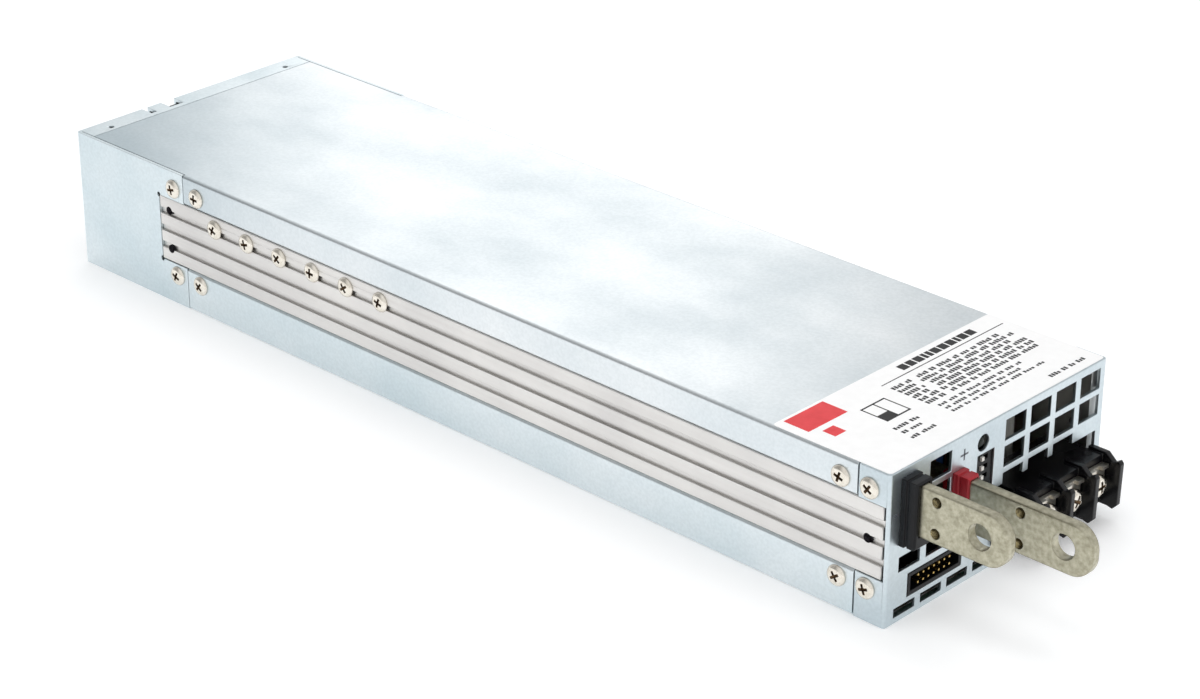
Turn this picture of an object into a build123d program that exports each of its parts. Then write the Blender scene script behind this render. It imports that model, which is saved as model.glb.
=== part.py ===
# Rack-height battery charger: a long, low sheet-metal case with extruded side
# rails, two fans at the rear, and bus bars, a mains terminal block, a signal
# connector and a DIP switch at the front.
# Frame: +X to the terminal end, +Y to the right-hand rail, +Z up. The origin is
# the centre of the case's underside. All sizes are in millimetres.
import os

from build123d import *

os.makedirs("parts", exist_ok=True)

# Case
LENGTH = 300.0
WIDTH = 85.0
HEIGHT = 41.0
SHEET = 1.0
BEND_R = 0.9
SEAM = 0.2
UPPER_FLANGE = 8.8
LOWER_FLANGE = 12.4
REAR_SIDE_LENGTH = 47.0
FRONT_SIDE_LENGTH = 9.5
REAR_STRIP = 6.4
FRONT_STRIP = 6.0
RELIEF_R = 0.7

# Side rails, extruded aluminium
RAIL_REAR_INSET = 36.2
RAIL_FRONT_INSET = 1.7
RAIL_RECESS = 0.2
RAIL_WALL = 3.5
RAIL_END_GAP = 1.2
RAIL_LIP = 1.2
RAIL_LIP_THICK = 1.5
GROOVE_PITCH = 5.25
GROOVE_WIDTH = 1.9
GROOVE_DEPTH = 0.8
GROOVE_COUNT = 3

# Fasteners
FIT = 0.05
HEAD_R = 2.8
HEAD_H = 1.1
HEAD_TAPER = 20.0
RECESS_LENGTH = 3.2
RECESS_WIDTH = 0.7
RECESS_DEPTH = 0.7
M3_R = 1.45
CASE_SCREW_LENGTH = 4.6
SHEET_HOLE_R = 1.65
SCREW_FROM_FLANGE_EDGE = 3.5
REAR_SCREW_BEFORE = 4.2
REAR_SCREW_AFTER = 5.8
FRONT_SCREW_BEFORE = 5.2
FRONT_SCREW_AFTER = 3.5
NUT_FLATS = 5.5
NUT_H = 2.4

# Rear strip
TONGUE_SLITS = ((24.0, 26.0), (31.0, 36.0))
TONGUE_LENGTH = 4.5
TOOLING_HOLE_R = 0.8
TOOLING_HOLE_X = 4.4
TOOLING_HOLES = (9.2, 75.8)

# Circuit board
BOARD = 1.6
BOARD_TOP = 5.5
BOARD_REAR_INSET = 46.0
BOARD_FRONT_INSET = 4.0
BOARD_SIDE_GAP = 1.0
FILM = 0.3
STANDOFF_FLATS = 5.0
STANDOFF_REAR_INSET = 5.0
STANDOFF_FRONT_INSET = 32.0
STANDOFF_SIDE_INSET = 5.5
FILM_INSET = 2.0
FILM_FRONT_GAP = 1.4
BOARD_SCREW_HEAD_H = 1.6

# Fans
FAN_ROOM = 0.5
FAN_DEPTH = 28.0
FAN_GAP = 1.2
FAN_CORNER_R = 3.0
FAN_FLANGE = 3.5
FAN_WALL = 1.0
FAN_BARREL_WALL = 0.8
FAN_WAIST_R = 14.0
FAN_HOLE_INSET = 3.0
FAN_HOLE_R = 1.7
FAN_HUB_R = 10.0
FAN_HUB_WALL = 1.2
FAN_BLADES = 7
BLADE_GAP = 0.8
BLADE_THICK = 1.0
BLADE_ROOT_R = 6.0
BLADE_ROOT_ANGLE = 38.0
BLADE_TIP_ANGLE = 52.0
BLADE_ROOT_CHORD = 15.0
BLADE_TIP_CHORD = 20.0
MOTOR_PLATE = 3.0
STRUT_WIDTH = 2.2
STRUT_COUNT = 4
SHAFT_R = 1.5
BEARING_R = 3.2
BEARING_LENGTH = 12.0
ROTOR_GAP = 1.0
GRILLE_HUB_R = 5.0
GRILLE_EDGE = 0.4
GRILLE_BAR = 1.4
GRILLE_RINGS = 3
GRILLE_SPOKE = 2.0
FAN_SCREW_R = 2.7
FAN_SCREW_LENGTH = 9.0

# Front panel openings, measured from the left edge and down from the top
VENT_WIDTH = 8.1
VENT_HEIGHT = 5.6
VENT_PITCH = 10.15
VENT_ROW_PITCH = 7.2
VENT_TOP = 4.85
GRID_LEFT = 48.1
GRID_COLUMNS = 4
LEFT_VENT = 8.7
LEFT_VENT_PITCH = 10.3
LOW_VENT_DROP = 25.5
LOW_VENT_HEIGHT = 4.0
SLOT_LEFT = 7.55
SLOT_DROP = 38.25
SLOT_HEIGHT = 2.5
SLOT_COUNT = 8

# Bus bars
BAR_THICK = 3.0
BAR_HEIGHT = 13.6
BAR_END_R = 6.0
BAR_EDGE = 0.3
BAR_HOLE_R = 3.25
BAR_HOLE_FROM_END = 8.3
TAP_HOLE_R = 1.25
TAP_FROM_HOLE = 12.5
TAP_PITCH = 8.2
BAR_LEG = 10.0
INSULATOR_EDGE = 0.4
BAR_INSIDE = 30.0
NEGATIVE_LEFT = 7.15
NEGATIVE_DROP = 9.9
NEGATIVE_REACH = 29.9
POSITIVE_LEFT = 26.1
POSITIVE_DROP = 16.2
POSITIVE_REACH = 40.0
NEGATIVE_INSULATOR_WIDTH = 6.1
NEGATIVE_INSULATOR_BELOW = 3.4
POSITIVE_INSULATOR_WIDTH = 4.4
POSITIVE_INSULATOR_BELOW = 1.6
INSULATOR_REACH = 4.6
INSULATOR_ABOVE = 0.9
INSULATOR_FLANGE = 1.5
INSULATOR_NECK = 0.7
NECK_INSET = 0.35
COLLAR_INSET = 0.15
SLEEVE_WALL = 0.5
SLEEVE_DEPTH = 3.0
SLEEVE_GAP = 0.1

# Mains terminal block
BLOCK_SIDE_GAP = 0.1
BLOCK_PITCH = 10.2
BLOCK_POSITIONS = 3
BLOCK_WALL = 1.6
BLOCK_ROOF_Z = 17.8
BLOCK_FOOT_Z = 4.0
BLOCK_ROOF = 4.5
BLOCK_DEPTH = 12.0
BLOCK_REACH = 10.0
BLOCK_RISE = 0.7
BLOCK_SHOULDER = 1.0
BLOCK_NOTCH = (2.2, 2.0)
BLOCK_HORN = (0.7, 1.1)
BLOCK_TIP_LEAN = (0.3, 1.0)
BLOCK_TOE = (1.6, 0.4)
BLOCK_HEEL = 3.2
BLOCK_EAR = 7.8
BLOCK_EAR_THICK = 1.2
BLOCK_EAR_DROP = 4.0
BLOCK_CUTOUT_ROOM = 3.9
BLOCK_CUTOUT_GAP = 0.3
BLOCK_CUTOUT_SIDE = 1.0
BLOCK_WELL = 6.0
CONTACT = 1.0
CONTACT_WIDTH = 7.8
CONTACT_HEIGHT = 9.0
CONTACT_PROUD = 0.2
TAIL_WIDTH = 3.0
TAIL = 0.8
TAIL_Z = 7.0
TAIL_BEHIND = 2.0
TERMINAL_Z = 11.2
CLAMP = 1.0
CLAMP_SIZE = 7.6
CLAMP_LIP = 1.0
CLAMP_LIP_WIDTH = 2.5
CLAMP_GAP = 0.1
TERMINAL_HEAD_R = 3.0
TERMINAL_HEAD_H = 2.2
TERMINAL_SCREW_R = 1.7
TERMINAL_SCREW_LENGTH = 6.5
TERMINAL_FIT = 0.08

# DIP switch, lamp and the upright board behind them
DIP_LEFT = 36.6
DIP_DROP = 13.25
DIP_WIDTH = 6.2
DIP_HEIGHT = 10.5
DIP_RECESS = 0.6
DIP_WAYS = 4
DIP_PITCH = 2.54
SLIDER = 1.0
SLIDER_TRAVEL = 1.8
SLIDER_DEPTH = 2.0
SLIDER_PROUD = 0.5
SLIDER_GAP = 0.12
PANEL_BOARD_INSET = 6.0
PANEL_BOARD_SIDE = 2.5
LAMP_LEFT = 35.3
LAMP_DROP = 4.8
LAMP_HOLE_R = 2.2
LAMP_R = 1.9
LAMP_SET_BACK = 0.3

# Signal connector
PLUG_LEFT = 18.8
PLUG_WIDTH = 20.6
PLUG_HEIGHT = 6.0
PLUG_WALL = 1.0
PLUG_DEPTH = 13.0
PLUG_CAVITY = 7.0
PIN_PITCH = 2.0
PIN_COLUMNS = 7
PIN = 0.5
PIN_SETBACK = 0.3

# Heat-sink transistors
DEVICE_COUNT = 6
DEVICE_PITCH = 13.5
DEVICE_REAR = 60.0
DEVICE_DROP = 12.6
DEVICE_WIDTH = 10.0
TAB = 1.3
TAB_HEIGHT = 15.7
TAB_ABOVE_HOLE = 2.8
DEVICE_BODY_HEIGHT = 9.2
DEVICE_BODY = 4.4
PAD = 0.5
LEG = 0.8
LEG_PITCH = 2.54

# Side and underside fixing holes
SIDE_TAP_R = 1.25
SIDE_REAR = 40.2
SIDE_REAR_PITCH = 11.8
SIDE_FRONT_INSET = 6.2
BASE_HOLE_X = 160.0
BASE_HOLE_Y = 50.0
BASE_THREAD_R = 1.65
PRESS_NUT_R = 3.4
PRESS_NUT_H = 2.3

# Print field on the lid
LABEL_LENGTH = 35.8
LABEL_INSET = 0.5
LABEL_CORNER_R = 1.0
LABEL = 0.12

# Parts on the board. The two rows begin at a distance from the board's rear end
# and end at a distance from the front face, with even gaps between their parts.
# The other gaps are measured from the side rails.
ROW_REAR = 12.0
LEFT_ROW_FRONT = 54.0
RIGHT_ROW_FRONT = 28.5
PART_GAP = 1.5
BULK_CAN_R = 11.0
BULK_CAN_H = 30.0
BULK_CAN_PITCH = 25.0
BULK_CAN_COUNT = 3
BOOST_CHOKE = {"outer": 16.0, "inner": 7.0, "height": 16.0, "wire": 1.6}
RESONANT_CHOKE = (24.0, 22.0, 22.0)
RESONANT_CHOKE_GAP = 13.8
TRANSFORMER = (38.0, 36.0, 30.0)
TRANSFORMER_GAP = 11.8
CORE_LIMB = 4.0
CORE_YOKE = 5.5
WINDING_GAP = 0.5
WINDING_CORNER_R = 4.0
CORE_SHARE = 0.7
CRIMP = 0.6
CRIMP_Z = 3.0
CONTROL_BOARD_GAP = 14.2
CONTROL_BOARD_LENGTH = 50.0
CONTROL_BOARD_HEIGHT = 28.0
UPRIGHT_BOARD = 1.2
CHIP_COUNT = 3
CHIP_PITCH = 15.0
CHIP = (9.0, 1.5, 6.0)
RECTIFIER_SINK = (30.0, 28.0, 26.0)
RECTIFIER_SINK_GAP = 8.8
SINK_BASE = 3.0
SINK_FIN = 1.2
SINK_FIN_COUNT = 7
OUTPUT_CAN_R = 6.25
OUTPUT_CAN_H = 24.0
OUTPUT_CAN_PITCH = 14.0
OUTPUT_CAN_COLUMNS = 2
OUTPUT_CAN_ROWS = 3
LINE_CHOKE = {"outer": 12.0, "inner": 5.5, "height": 14.0, "wire": 1.2}
LINE_CHOKE_GAP = 11.3
FILTER_CAPACITOR = (26.0, 10.0, 20.0)
INRUSH_RELAY = (20.0, 10.0, 15.0)
LINE_CAN_R = 5.0
LINE_CAN_H = 29.0
LINE_CAN_FRONT = 21.0
LINE_CAN_GAP = 7.8
FUSE_R = 2.8
FUSE_LENGTH = 20.0
FUSE_CAP = 5.0
FUSE_FRONT = 22.0
FUSE_GAP = 19.8
FUSE_Z = 4.0

# Places and sizes that follow from the driving dimensions
REAR_X = -LENGTH / 2
FRONT_X = LENGTH / 2
LEFT_Y = -WIDTH / 2
OUTER_Y = WIDTH / 2
INNER_Y = OUTER_Y - SHEET
LID_Z = HEIGHT - SHEET
LID_Y = INNER_Y - SEAM
REAR_SEAM_X = REAR_X + REAR_SIDE_LENGTH
FRONT_SEAM_X = FRONT_X - FRONT_SIDE_LENGTH
UPPER_EDGE_Z = HEIGHT - UPPER_FLANGE
LOWER_EDGE_Z = LOWER_FLANGE
UPPER_SCREW_Z = UPPER_EDGE_Z + SCREW_FROM_FLANGE_EDGE
LOWER_SCREW_Z = LOWER_EDGE_Z - SCREW_FROM_FLANGE_EDGE
HOUSING_SCREW_X = REAR_SEAM_X - REAR_SCREW_BEFORE
PANEL_SCREW_X = FRONT_SEAM_X + FRONT_SCREW_AFTER
COVER_SCREW_XS = (REAR_SEAM_X + REAR_SCREW_AFTER, FRONT_SEAM_X - FRONT_SCREW_BEFORE)
RAIL_REAR_X = REAR_X + RAIL_REAR_INSET
RAIL_FRONT_X = FRONT_X - RAIL_FRONT_INSET
RAIL_FACE_Y = OUTER_Y - RAIL_RECESS
RAIL_INNER_Y = RAIL_FACE_Y - RAIL_WALL
RAIL_LOW_Z = SHEET + RAIL_END_GAP
RAIL_HIGH_Z = LID_Z - RAIL_END_GAP
BAND_Z = (LOWER_EDGE_Z + UPPER_EDGE_Z) / 2
BAND_HEIGHT = UPPER_EDGE_Z - LOWER_EDGE_Z - SEAM
BOARD_LOW_Z = BOARD_TOP - BOARD
BOARD_REAR_X = REAR_X + BOARD_REAR_INSET
BOARD_FRONT_X = FRONT_X - BOARD_FRONT_INSET
BOARD_Y = RAIL_INNER_Y - BOARD_SIDE_GAP
FAN = min(LID_Z - SHEET, INNER_Y - FAN_GAP / 2) - 2 * FAN_ROOM
FAN_HOLE_PITCH = FAN - 2 * FAN_HOLE_INSET
FAN_Y = (FAN + FAN_GAP) / 2
FAN_Z = HEIGHT / 2
FAN_REAR_X = REAR_X + SHEET
FAN_BORE_R = FAN / 2 - FAN_WALL - FAN_BARREL_WALL
GRILLE_ROOM = FAN_BORE_R - GRILLE_EDGE - GRILLE_HUB_R - (GRILLE_RINGS - 1) * GRILLE_BAR
GRILLE_SLOT = GRILLE_ROOM / GRILLE_RINGS
ROTOR_REAR_X = FAN_REAR_X + MOTOR_PLATE + ROTOR_GAP
ROTOR_LENGTH = FAN_DEPTH - MOTOR_PLATE - 2 * ROTOR_GAP
DEVICE_Z = HEIGHT - DEVICE_DROP
DEVICE_TOP_Z = DEVICE_Z + TAB_ABOVE_HOLE
PAD_Y = RAIL_INNER_Y - PAD
DEVICE_FACE_Y = PAD_Y - DEVICE_BODY
DEVICE_SCREW_LENGTH = RAIL_WALL + PAD + TAB + NUT_H
DEVICE_XS = [REAR_X + DEVICE_REAR + n * DEVICE_PITCH for n in range(DEVICE_COUNT)]
SIDE_SCREWS = [
    (x, z)
    for x in (HOUSING_SCREW_X, *COVER_SCREW_XS, PANEL_SCREW_X)
    for z in (LOWER_SCREW_Z, UPPER_SCREW_Z)
]
SIDE_TAPS = [
    (REAR_X + SIDE_REAR, BAND_Z - SIDE_REAR_PITCH / 2),
    (REAR_X + SIDE_REAR, BAND_Z + SIDE_REAR_PITCH / 2),
    (FRONT_X - SIDE_FRONT_INSET, BAND_Z),
]
STANDOFF_REAR_X = BOARD_REAR_X + STANDOFF_REAR_INSET
STANDOFF_FRONT_X = BOARD_FRONT_X - STANDOFF_FRONT_INSET
STANDOFF_Y = BOARD_Y - STANDOFF_SIDE_INSET
STANDOFF_PLACES = [
    (x, y)
    for x in (STANDOFF_REAR_X, (STANDOFF_REAR_X + STANDOFF_FRONT_X) / 2, STANDOFF_FRONT_X)
    for y in (-STANDOFF_Y, STANDOFF_Y)
]
BASE_HOLES = [
    (x, y) for x in (-BASE_HOLE_X / 2, BASE_HOLE_X / 2) for y in (-BASE_HOLE_Y / 2, BASE_HOLE_Y / 2)
]
BLOCK_RIGHT_Y = RAIL_INNER_Y - BLOCK_SIDE_GAP
BLOCK_LEFT_Y = BLOCK_RIGHT_Y - BLOCK_POSITIONS * BLOCK_PITCH - BLOCK_WALL
BLOCK_FACE_X = FRONT_X + BLOCK_ROOF
TERMINAL_YS = [
    BLOCK_LEFT_Y + BLOCK_WALL / 2 + (n + 0.5) * BLOCK_PITCH for n in range(BLOCK_POSITIONS)
]
CONTACT_LOW_Z = TERMINAL_Z - CONTACT_HEIGHT / 2
BLOCK_CUTOUT_LEFT_Y = BLOCK_LEFT_Y - BLOCK_EAR - SEAM
BLOCK_CUTOUT_RIGHT_Y = BLOCK_RIGHT_Y + BLOCK_CUTOUT_SIDE
BLOCK_CUTOUT_Y = (BLOCK_CUTOUT_LEFT_Y + BLOCK_CUTOUT_RIGHT_Y) / 2
BLOCK_CUTOUT_WIDTH = BLOCK_CUTOUT_RIGHT_Y - BLOCK_CUTOUT_LEFT_Y
BLOCK_CUTOUT_LOW_Z = BOARD_TOP - BLOCK_CUTOUT_GAP
BLOCK_CUTOUT_HIGH_Z = BLOCK_ROOF_Z + BLOCK_CUTOUT_ROOM
LAMP_Y = LEFT_Y + LAMP_LEFT
LAMP_Z = HEIGHT - LAMP_DROP
DIP_Y = LEFT_Y + DIP_LEFT
DIP_Z = HEIGHT - DIP_DROP
SLIDER_ZS = [DIP_Z + ((DIP_WAYS - 1) / 2 - n) * DIP_PITCH for n in range(DIP_WAYS)]
PLUG_Y = LEFT_Y + PLUG_LEFT
PLUG_Z = BOARD_TOP + PLUG_HEIGHT / 2
PIN_PLACES = [
    (PLUG_Y + (n - (PIN_COLUMNS - 1) / 2) * PIN_PITCH, PLUG_Z + side * PIN_PITCH / 2)
    for n in range(PIN_COLUMNS)
    for side in (-1, 1)
]
BARS = {
    "negative": {
        "y": LEFT_Y + NEGATIVE_LEFT,
        "z": HEIGHT - NEGATIVE_DROP,
        "reach": NEGATIVE_REACH,
        "width": NEGATIVE_INSULATOR_WIDTH,
        "below": NEGATIVE_INSULATOR_BELOW,
    },
    "positive": {
        "y": LEFT_Y + POSITIVE_LEFT,
        "z": HEIGHT - POSITIVE_DROP,
        "reach": POSITIVE_REACH,
        "width": POSITIVE_INSULATOR_WIDTH,
        "below": POSITIVE_INSULATOR_BELOW,
    },
}


def from_left(distance):
    """Gives the place across the case of a distance from its left side."""
    return LEFT_Y + distance


def below_top(distance):
    """Gives the height of a distance down from the case's top."""
    return HEIGHT - distance


def beside_rail(side, gap, width):
    """Gives the middle of a piece that stands a gap away from one side's rail."""
    return side * (RAIL_INNER_Y - gap - width / 2)


def spread(low, high, widths):
    """Gives the middles of pieces that fill a row with even gaps between them."""
    gap = (high - low - sum(widths)) / (len(widths) - 1)
    ends = [sum(widths[: n + 1]) + n * gap for n in range(len(widths))]
    return [low + end - width / 2 for end, width in zip(ends, widths)]


def slab(low, high, mode=Mode.ADD):
    """Adds or cuts a rectangular block between two corners."""
    with Locations(tuple((a + b) / 2 for a, b in zip(low, high))):
        Box(*[b - a for a, b in zip(low, high)], mode=mode)


def rod(plane, radius, length, mode=Mode.ADD):
    """Adds or cuts a round rod that stands on a plane."""
    with BuildSketch(plane) as outline:
        Circle(radius)
    extrude(outline.sketch, amount=length, mode=mode)


def hexagon(plane, flats, length, hole_r):
    """Adds a hexagonal bar with a round hole through it."""
    with BuildSketch(plane) as outline:
        RegularPolygon(flats / 2, 6, major_radius=False)
        Circle(hole_r, mode=Mode.SUBTRACT)
    extrude(outline.sketch, amount=length)


def screw(plane, head_r, head_h, shank_r, length):
    """Adds a pan-head screw with a cross recess, its head standing on a plane."""
    with BuildSketch(plane) as seat:
        Circle(head_r)
    extrude(seat.sketch, amount=head_h, taper=HEAD_TAPER)
    with BuildSketch(plane.offset(head_h)) as cross:
        Rectangle(RECESS_LENGTH, RECESS_WIDTH)
        Rectangle(RECESS_WIDTH, RECESS_LENGTH)
    extrude(cross.sketch, amount=-RECESS_DEPTH, mode=Mode.SUBTRACT)
    rod(plane, shank_r, -length)


def left_plane(x, y, z):
    """Gives a plane that faces out of the left side."""
    return Plane(origin=(x, y, z), x_dir=(1, 0, 0), z_dir=(0, -1, 0))


def front_plane(x, y, z):
    """Gives a plane that faces the terminal end."""
    return Plane(origin=(x, y, z), x_dir=(0, 1, 0), z_dir=(1, 0, 0))


def top_plane(x, y, z):
    """Gives a plane that faces up."""
    return Plane(origin=(x, y, z))


def save(builder, name):
    """Labels a finished piece and writes its file."""
    builder.part.label = name
    export_step(builder.part, f"parts/{name}.step")


# Rear housing: the rear wall, both side walls and the two narrow strips that
# are folded in over the fans
with BuildPart() as rear_housing:
    with BuildSketch(Plane.XY) as folded:
        with Locations((REAR_X + REAR_SIDE_LENGTH / 2, 0)):
            Rectangle(REAR_SIDE_LENGTH, WIDTH)
        fillet(folded.vertices().group_by(Axis.X)[0], BEND_R)
        with Locations((REAR_X + SHEET + REAR_SIDE_LENGTH / 2, 0)):
            Rectangle(REAR_SIDE_LENGTH, 2 * INNER_Y, mode=Mode.SUBTRACT)
    extrude(amount=HEIGHT)
    for low_z in (0, LID_Z):
        slab((REAR_X + SHEET / 2, -LID_Y, low_z), (REAR_X + REAR_STRIP, LID_Y, low_z + SHEET))
    # The tongue in the top strip stands between two slits.
    for near, far in TONGUE_SLITS:
        slab(
            (REAR_X - SHEET, from_left(near), LID_Z - SHEET),
            (REAR_X + TONGUE_LENGTH, from_left(far), HEIGHT + SHEET),
            mode=Mode.SUBTRACT,
        )
    for across in TOOLING_HOLES:
        seat = top_plane(REAR_X + TOOLING_HOLE_X, from_left(across), LID_Z)
        rod(seat, TOOLING_HOLE_R, SHEET, mode=Mode.SUBTRACT)
    # The rails show through a window that is open to the front.
    slab(
        (RAIL_REAR_X, -WIDTH, LOWER_EDGE_Z),
        (REAR_SEAM_X + SHEET, WIDTH, UPPER_EDGE_Z),
        mode=Mode.SUBTRACT,
    )
    for edge_z in (LOWER_EDGE_Z, UPPER_EDGE_Z):
        rod(left_plane(RAIL_REAR_X, WIDTH, edge_z), RELIEF_R, 2 * WIDTH, mode=Mode.SUBTRACT)
    for screw_z in (LOWER_SCREW_Z, UPPER_SCREW_Z):
        seat = left_plane(HOUSING_SCREW_X, WIDTH, screw_z)
        rod(seat, SHEET_HOLE_R, 2 * WIDTH, mode=Mode.SUBTRACT)
    # Each fan blows through a grille of arc slots with a screw at each corner.
    for fan_y in (-FAN_Y, FAN_Y):
        with BuildSketch(front_plane(REAR_X - SHEET, fan_y, FAN_Z)):
            for step in reversed(range(GRILLE_RINGS)):
                inner_r = GRILLE_HUB_R + step * (GRILLE_SLOT + GRILLE_BAR)
                Circle(inner_r + GRILLE_SLOT)
                Circle(inner_r, mode=Mode.SUBTRACT)
            Rectangle(FAN, GRILLE_SPOKE, rotation=45, mode=Mode.SUBTRACT)
            Rectangle(GRILLE_SPOKE, FAN, rotation=45, mode=Mode.SUBTRACT)
        extrude(amount=3 * SHEET, mode=Mode.SUBTRACT)
        with Locations(Plane.YZ.offset(REAR_X) * Location((fan_y, FAN_Z), (0, 180, 0))):
            with GridLocations(FAN_HOLE_PITCH, FAN_HOLE_PITCH, 2, 2):
                CounterSinkHole(FAN_HOLE_R, FAN_SCREW_R, depth=2 * SHEET)
save(rear_housing, "rear_housing")

# Front panel: one folded sheet with a flange at each side and along the top,
# pierced for air and for every connection
with BuildPart() as front_panel:
    with BuildSketch(Plane.XY) as folded:
        with Locations((FRONT_X - FRONT_SIDE_LENGTH / 2 + SEAM / 2, 0)):
            Rectangle(FRONT_SIDE_LENGTH - SEAM, WIDTH)
        fillet(folded.vertices().group_by(Axis.X)[-1], BEND_R)
        with Locations((FRONT_X - SHEET - FRONT_SIDE_LENGTH / 2, 0)):
            Rectangle(FRONT_SIDE_LENGTH, 2 * INNER_Y, mode=Mode.SUBTRACT)
    extrude(amount=HEIGHT)
    slab((FRONT_X - FRONT_STRIP, -LID_Y, LID_Z - SHEET), (FRONT_X - SHEET / 2, LID_Y, LID_Z))
    slab(
        (FRONT_X - LENGTH, -WIDTH, LOWER_EDGE_Z),
        (FRONT_X - SHEET, WIDTH, UPPER_EDGE_Z),
        mode=Mode.SUBTRACT,
    )
    for screw_z in (LOWER_SCREW_Z, UPPER_SCREW_Z):
        seat = left_plane(PANEL_SCREW_X, WIDTH, screw_z)
        rod(seat, SHEET_HOLE_R, 2 * WIDTH, mode=Mode.SUBTRACT)
    with BuildSketch(Plane.YZ.offset(FRONT_X - SHEET)):
        for row in range(2):
            drop = VENT_TOP + row * VENT_ROW_PITCH
            for column in range(GRID_COLUMNS):
                with Locations((from_left(GRID_LEFT + column * VENT_PITCH), below_top(drop))):
                    Rectangle(VENT_WIDTH, VENT_HEIGHT)
            with Locations((from_left(LEFT_VENT + LEFT_VENT_PITCH), below_top(drop))):
                Rectangle(VENT_WIDTH, VENT_HEIGHT)
        for column in range(2):
            across = from_left(LEFT_VENT + column * LEFT_VENT_PITCH)
            with Locations((across, below_top(LOW_VENT_DROP))):
                Rectangle(VENT_WIDTH, LOW_VENT_HEIGHT)
        for column in range(SLOT_COUNT):
            with Locations((from_left(SLOT_LEFT + column * VENT_PITCH), below_top(SLOT_DROP))):
                Rectangle(VENT_WIDTH, SLOT_HEIGHT)
        # The terminal block's cut-out runs up into a third row of three vents.
        with Locations((BLOCK_CUTOUT_Y, (BLOCK_CUTOUT_LOW_Z + BLOCK_CUTOUT_HIGH_Z) / 2)):
            Rectangle(BLOCK_CUTOUT_WIDTH, BLOCK_CUTOUT_HIGH_Z - BLOCK_CUTOUT_LOW_Z)
        for column in range(GRID_COLUMNS - 1):
            drop = VENT_TOP + 2 * VENT_ROW_PITCH
            with Locations((from_left(GRID_LEFT + column * VENT_PITCH), below_top(drop))):
                Rectangle(VENT_WIDTH, VENT_HEIGHT)
        with Locations((LAMP_Y, LAMP_Z)):
            Circle(LAMP_HOLE_R)
        with Locations((DIP_Y, DIP_Z)):
            Rectangle(DIP_WIDTH + 2 * SEAM, DIP_HEIGHT + 2 * SEAM)
        with Locations((PLUG_Y, PLUG_Z)):
            Rectangle(PLUG_WIDTH + 2 * SEAM, PLUG_HEIGHT + 2 * SEAM)
        for bar in BARS.values():
            sleeve_width = BAR_THICK + 2 * (SLEEVE_GAP + SLEEVE_WALL + SLEEVE_GAP)
            sleeve_height = BAR_HEIGHT + 2 * (SLEEVE_GAP + SLEEVE_WALL + SLEEVE_GAP)
            with Locations((bar["y"], bar["z"])):
                Rectangle(sleeve_width, sleeve_height)
    extrude(amount=SHEET, mode=Mode.SUBTRACT)
save(front_panel, "front_panel")


def folded_cover(sheet_z, flange_z, outer_z):
    """Adds a cover sheet with two side flanges that reach from it to flange_z."""
    middle_z = (flange_z + outer_z) / 2
    inward = 1 if outer_z > flange_z else -1
    with BuildSketch(Plane.YZ.offset(REAR_SEAM_X + SEAM)) as section:
        with Locations((0, middle_z)):
            Rectangle(WIDTH, abs(outer_z - flange_z))
        fillet(section.vertices().group_by(Axis.Z)[-1 if inward > 0 else 0], BEND_R)
        with Locations((0, middle_z - inward * SHEET)):
            Rectangle(2 * INNER_Y, abs(outer_z - flange_z), mode=Mode.SUBTRACT)
    extrude(section.sketch, amount=FRONT_SEAM_X - REAR_SEAM_X - 2 * SEAM)
    slab(
        (REAR_X + REAR_STRIP + SEAM, -LID_Y, sheet_z),
        (FRONT_X - SHEET - SEAM / 2, LID_Y, sheet_z + SHEET),
    )
    screw_z = flange_z + inward * SCREW_FROM_FLANGE_EDGE
    for screw_x in COVER_SCREW_XS:
        rod(left_plane(screw_x, WIDTH, screw_z), SHEET_HOLE_R, 2 * WIDTH, mode=Mode.SUBTRACT)


with BuildPart() as top_cover:
    folded_cover(LID_Z, UPPER_EDGE_Z, HEIGHT)
save(top_cover, "top_cover")

with BuildPart() as bottom_cover:
    folded_cover(0, LOWER_EDGE_Z, 0)
    for x, y in STANDOFF_PLACES:
        rod(top_plane(x, y, 0), SHEET_HOLE_R, SHEET, mode=Mode.SUBTRACT)
    for x, y in BASE_HOLES:
        rod(top_plane(x, y, 0), BASE_THREAD_R, SHEET, mode=Mode.SUBTRACT)
save(bottom_cover, "bottom_cover")

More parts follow.
